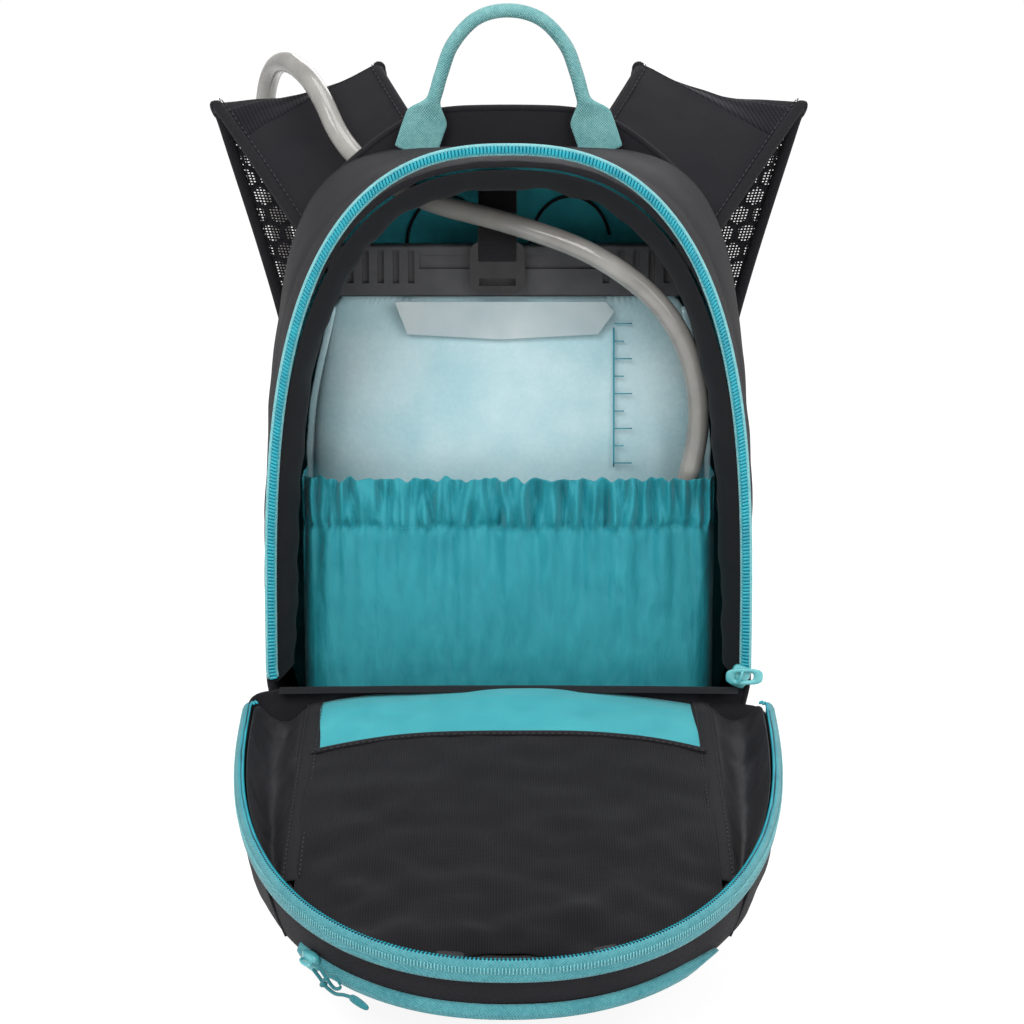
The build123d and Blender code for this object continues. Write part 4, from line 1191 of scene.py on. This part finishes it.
def drink_tube():
    """The tube, on one smooth line."""
    curve = bpy.data.curves.new("drink_hose", "CURVE")
    curve.dimensions = "3D"
    spline = curve.splines.new("NURBS")
    spline.points.add(len(TUBE_ROUTE) - 1)
    for point, place in zip(spline.points, TUBE_ROUTE):
        point.co = (*[c * MM for c in place], 1.0)
    spline.order_u = 3
    spline.use_endpoint_u = True
    spline.resolution_u = 12
    curve.bevel_depth = TUBE_D / 2 * MM
    curve.bevel_resolution = 8
    curve.use_fill_caps = True
    piece = bpy.data.objects.new("drink_hose", curve)
    bpy.context.collection.objects.link(piece)
    curve.materials.append(TUBE)
    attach(piece, "pack")
    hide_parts("drink_tube")


def finish_cad():
    """Finishes for the CAD pieces that keep their own shape."""
    finishes = {
        "reservoir_closure": GREY_PLASTIC, "reservoir_lip": CLEAR, "reservoir_port": GREY_PLASTIC,
        "release_button": SILICONE, "hang_buckle": GLOSS_BLACK, "tube_grommet": GLOSS_BLACK,
        "tube_clip": BLACK_WEB,
        "bite_valve_body": GLOSS_BLACK, "bite_valve_tip": SILICONE, "sternum_buckle_socket": GLOSS_BLACK,
        "sternum_buckle_plug": GLOSS_BLACK, "adjuster_lock_left": GLOSS_BLACK,
        "adjuster_lock_right": GLOSS_BLACK,
        "sternum_clip_left": GLOSS_BLACK, "sternum_clip_right": GLOSS_BLACK,
    }
    for name, material in finishes.items():
        node = bpy.data.objects[name]
        if not node.material_slots:
            node.data.materials.append(material)
        for place in node.material_slots:
            place.material = material


# ---------------------------------------------------------------- stage

def stage():
    """Pale floor and soft light, and the camera at the product's usual angle."""
    floor = bpy.data.meshes.new("floor")
    floor.from_pydata([(-60, -60, 0), (60, -60, 0), (60, 60, 0), (-60, 60, 0)], [], [(0, 1, 2, 3)])
    ground = bpy.data.objects.new("floor", floor)
    bpy.context.collection.objects.link(ground)
    material = bpy.data.materials.new("floor_white")
    material.use_nodes = True
    nodes, links = material.node_tree.nodes, material.node_tree.links
    shader = nodes["Principled BSDF"]
    shader.inputs["Base Color"].default_value = (0.9, 0.9, 0.9, 1)
    shader.inputs["Roughness"].default_value = 0.9
    glow, mix, path = (nodes.new(k) for k in ("ShaderNodeEmission", "ShaderNodeMixShader",
        "ShaderNodeLightPath"))
    share = nodes.new("ShaderNodeMath")
    share.operation = "MULTIPLY"
    share.inputs[1].default_value = 0.75
    glow.inputs["Strength"].default_value = 1.2
    links.new(path.outputs["Is Camera Ray"], share.inputs[0])
    links.new(share.outputs[0], mix.inputs[0])
    links.new(shader.outputs[0], mix.inputs[1])
    links.new(glow.outputs[0], mix.inputs[2])
    links.new(mix.outputs[0], nodes["Material Output"].inputs["Surface"])
    floor.materials.append(material)

    world = bpy.data.worlds.new("studio")
    bpy.context.scene.world = world
    world.use_nodes = True
    tree = world.node_tree
    plain = tree.nodes["Background"]
    plain.inputs["Color"].default_value = (1, 1, 1, 1)
    plain.inputs["Strength"].default_value = 0.55
    white, choose, rays = (tree.nodes.new(k) for k in ("ShaderNodeBackground", "ShaderNodeMixShader",
        "ShaderNodeLightPath"))
    white.inputs["Color"].default_value = (1, 1, 1, 1)
    tree.links.new(rays.outputs["Is Camera Ray"], choose.inputs[0])
    tree.links.new(plain.outputs[0], choose.inputs[1])
    tree.links.new(white.outputs[0], choose.inputs[2])
    tree.links.new(choose.outputs[0], tree.nodes["World Output"].inputs["Surface"])

    lamps = (("key", (-0.9, -1.5, 1.6), 26, 1.2), ("fill", (1.2, -1.3, 1.0), 13, 1.2),
        ("top", (0.0, -0.2, 1.9), 12, 1.0), ("rear", (0.3, 1.6, 1.4), 14, 1.2))
    for name, place, power, size in lamps:
        light = bpy.data.lights.new(name, "AREA")
        light.energy = power
        light.size = size
        lamp = bpy.data.objects.new(name, light)
        bpy.context.collection.objects.link(lamp)
        lamp.location = place
        lamp.rotation_euler = (Vector((0, -0.05, 0.2)) - Vector(place)).to_track_quat("-Z", "Y").to_euler()

    camera_data = bpy.data.cameras.new("camera")
    camera_data.lens = 93
    camera_data.sensor_width = 36
    camera = bpy.data.objects.new("camera", camera_data)
    bpy.context.collection.objects.link(camera)
    elevation, distance = math.radians(10), 1.26
    target = Vector((0.00167, -0.045, 0.1846))
    camera.location = target + Vector((0, -math.cos(elevation), math.sin(elevation))) * distance
    camera.rotation_euler = (math.radians(90) - elevation, 0, 0)
    bpy.context.scene.camera = camera
    bpy.context.scene.view_settings.view_transform = "Standard"


body_shell()
back_lining()
ruffled_lining()
body_zip()
reservoir()
sleeve()
flap_shell()
flap_zip()
flap_inside()
pocket_zip()
seam_lines()
main_slider()
pocket_pull()
straps()
webbing()
grab_loop()
yoke()
back_side()
lower_front()
fold_cloth()
finish_cad()
drink_tube()
stage()
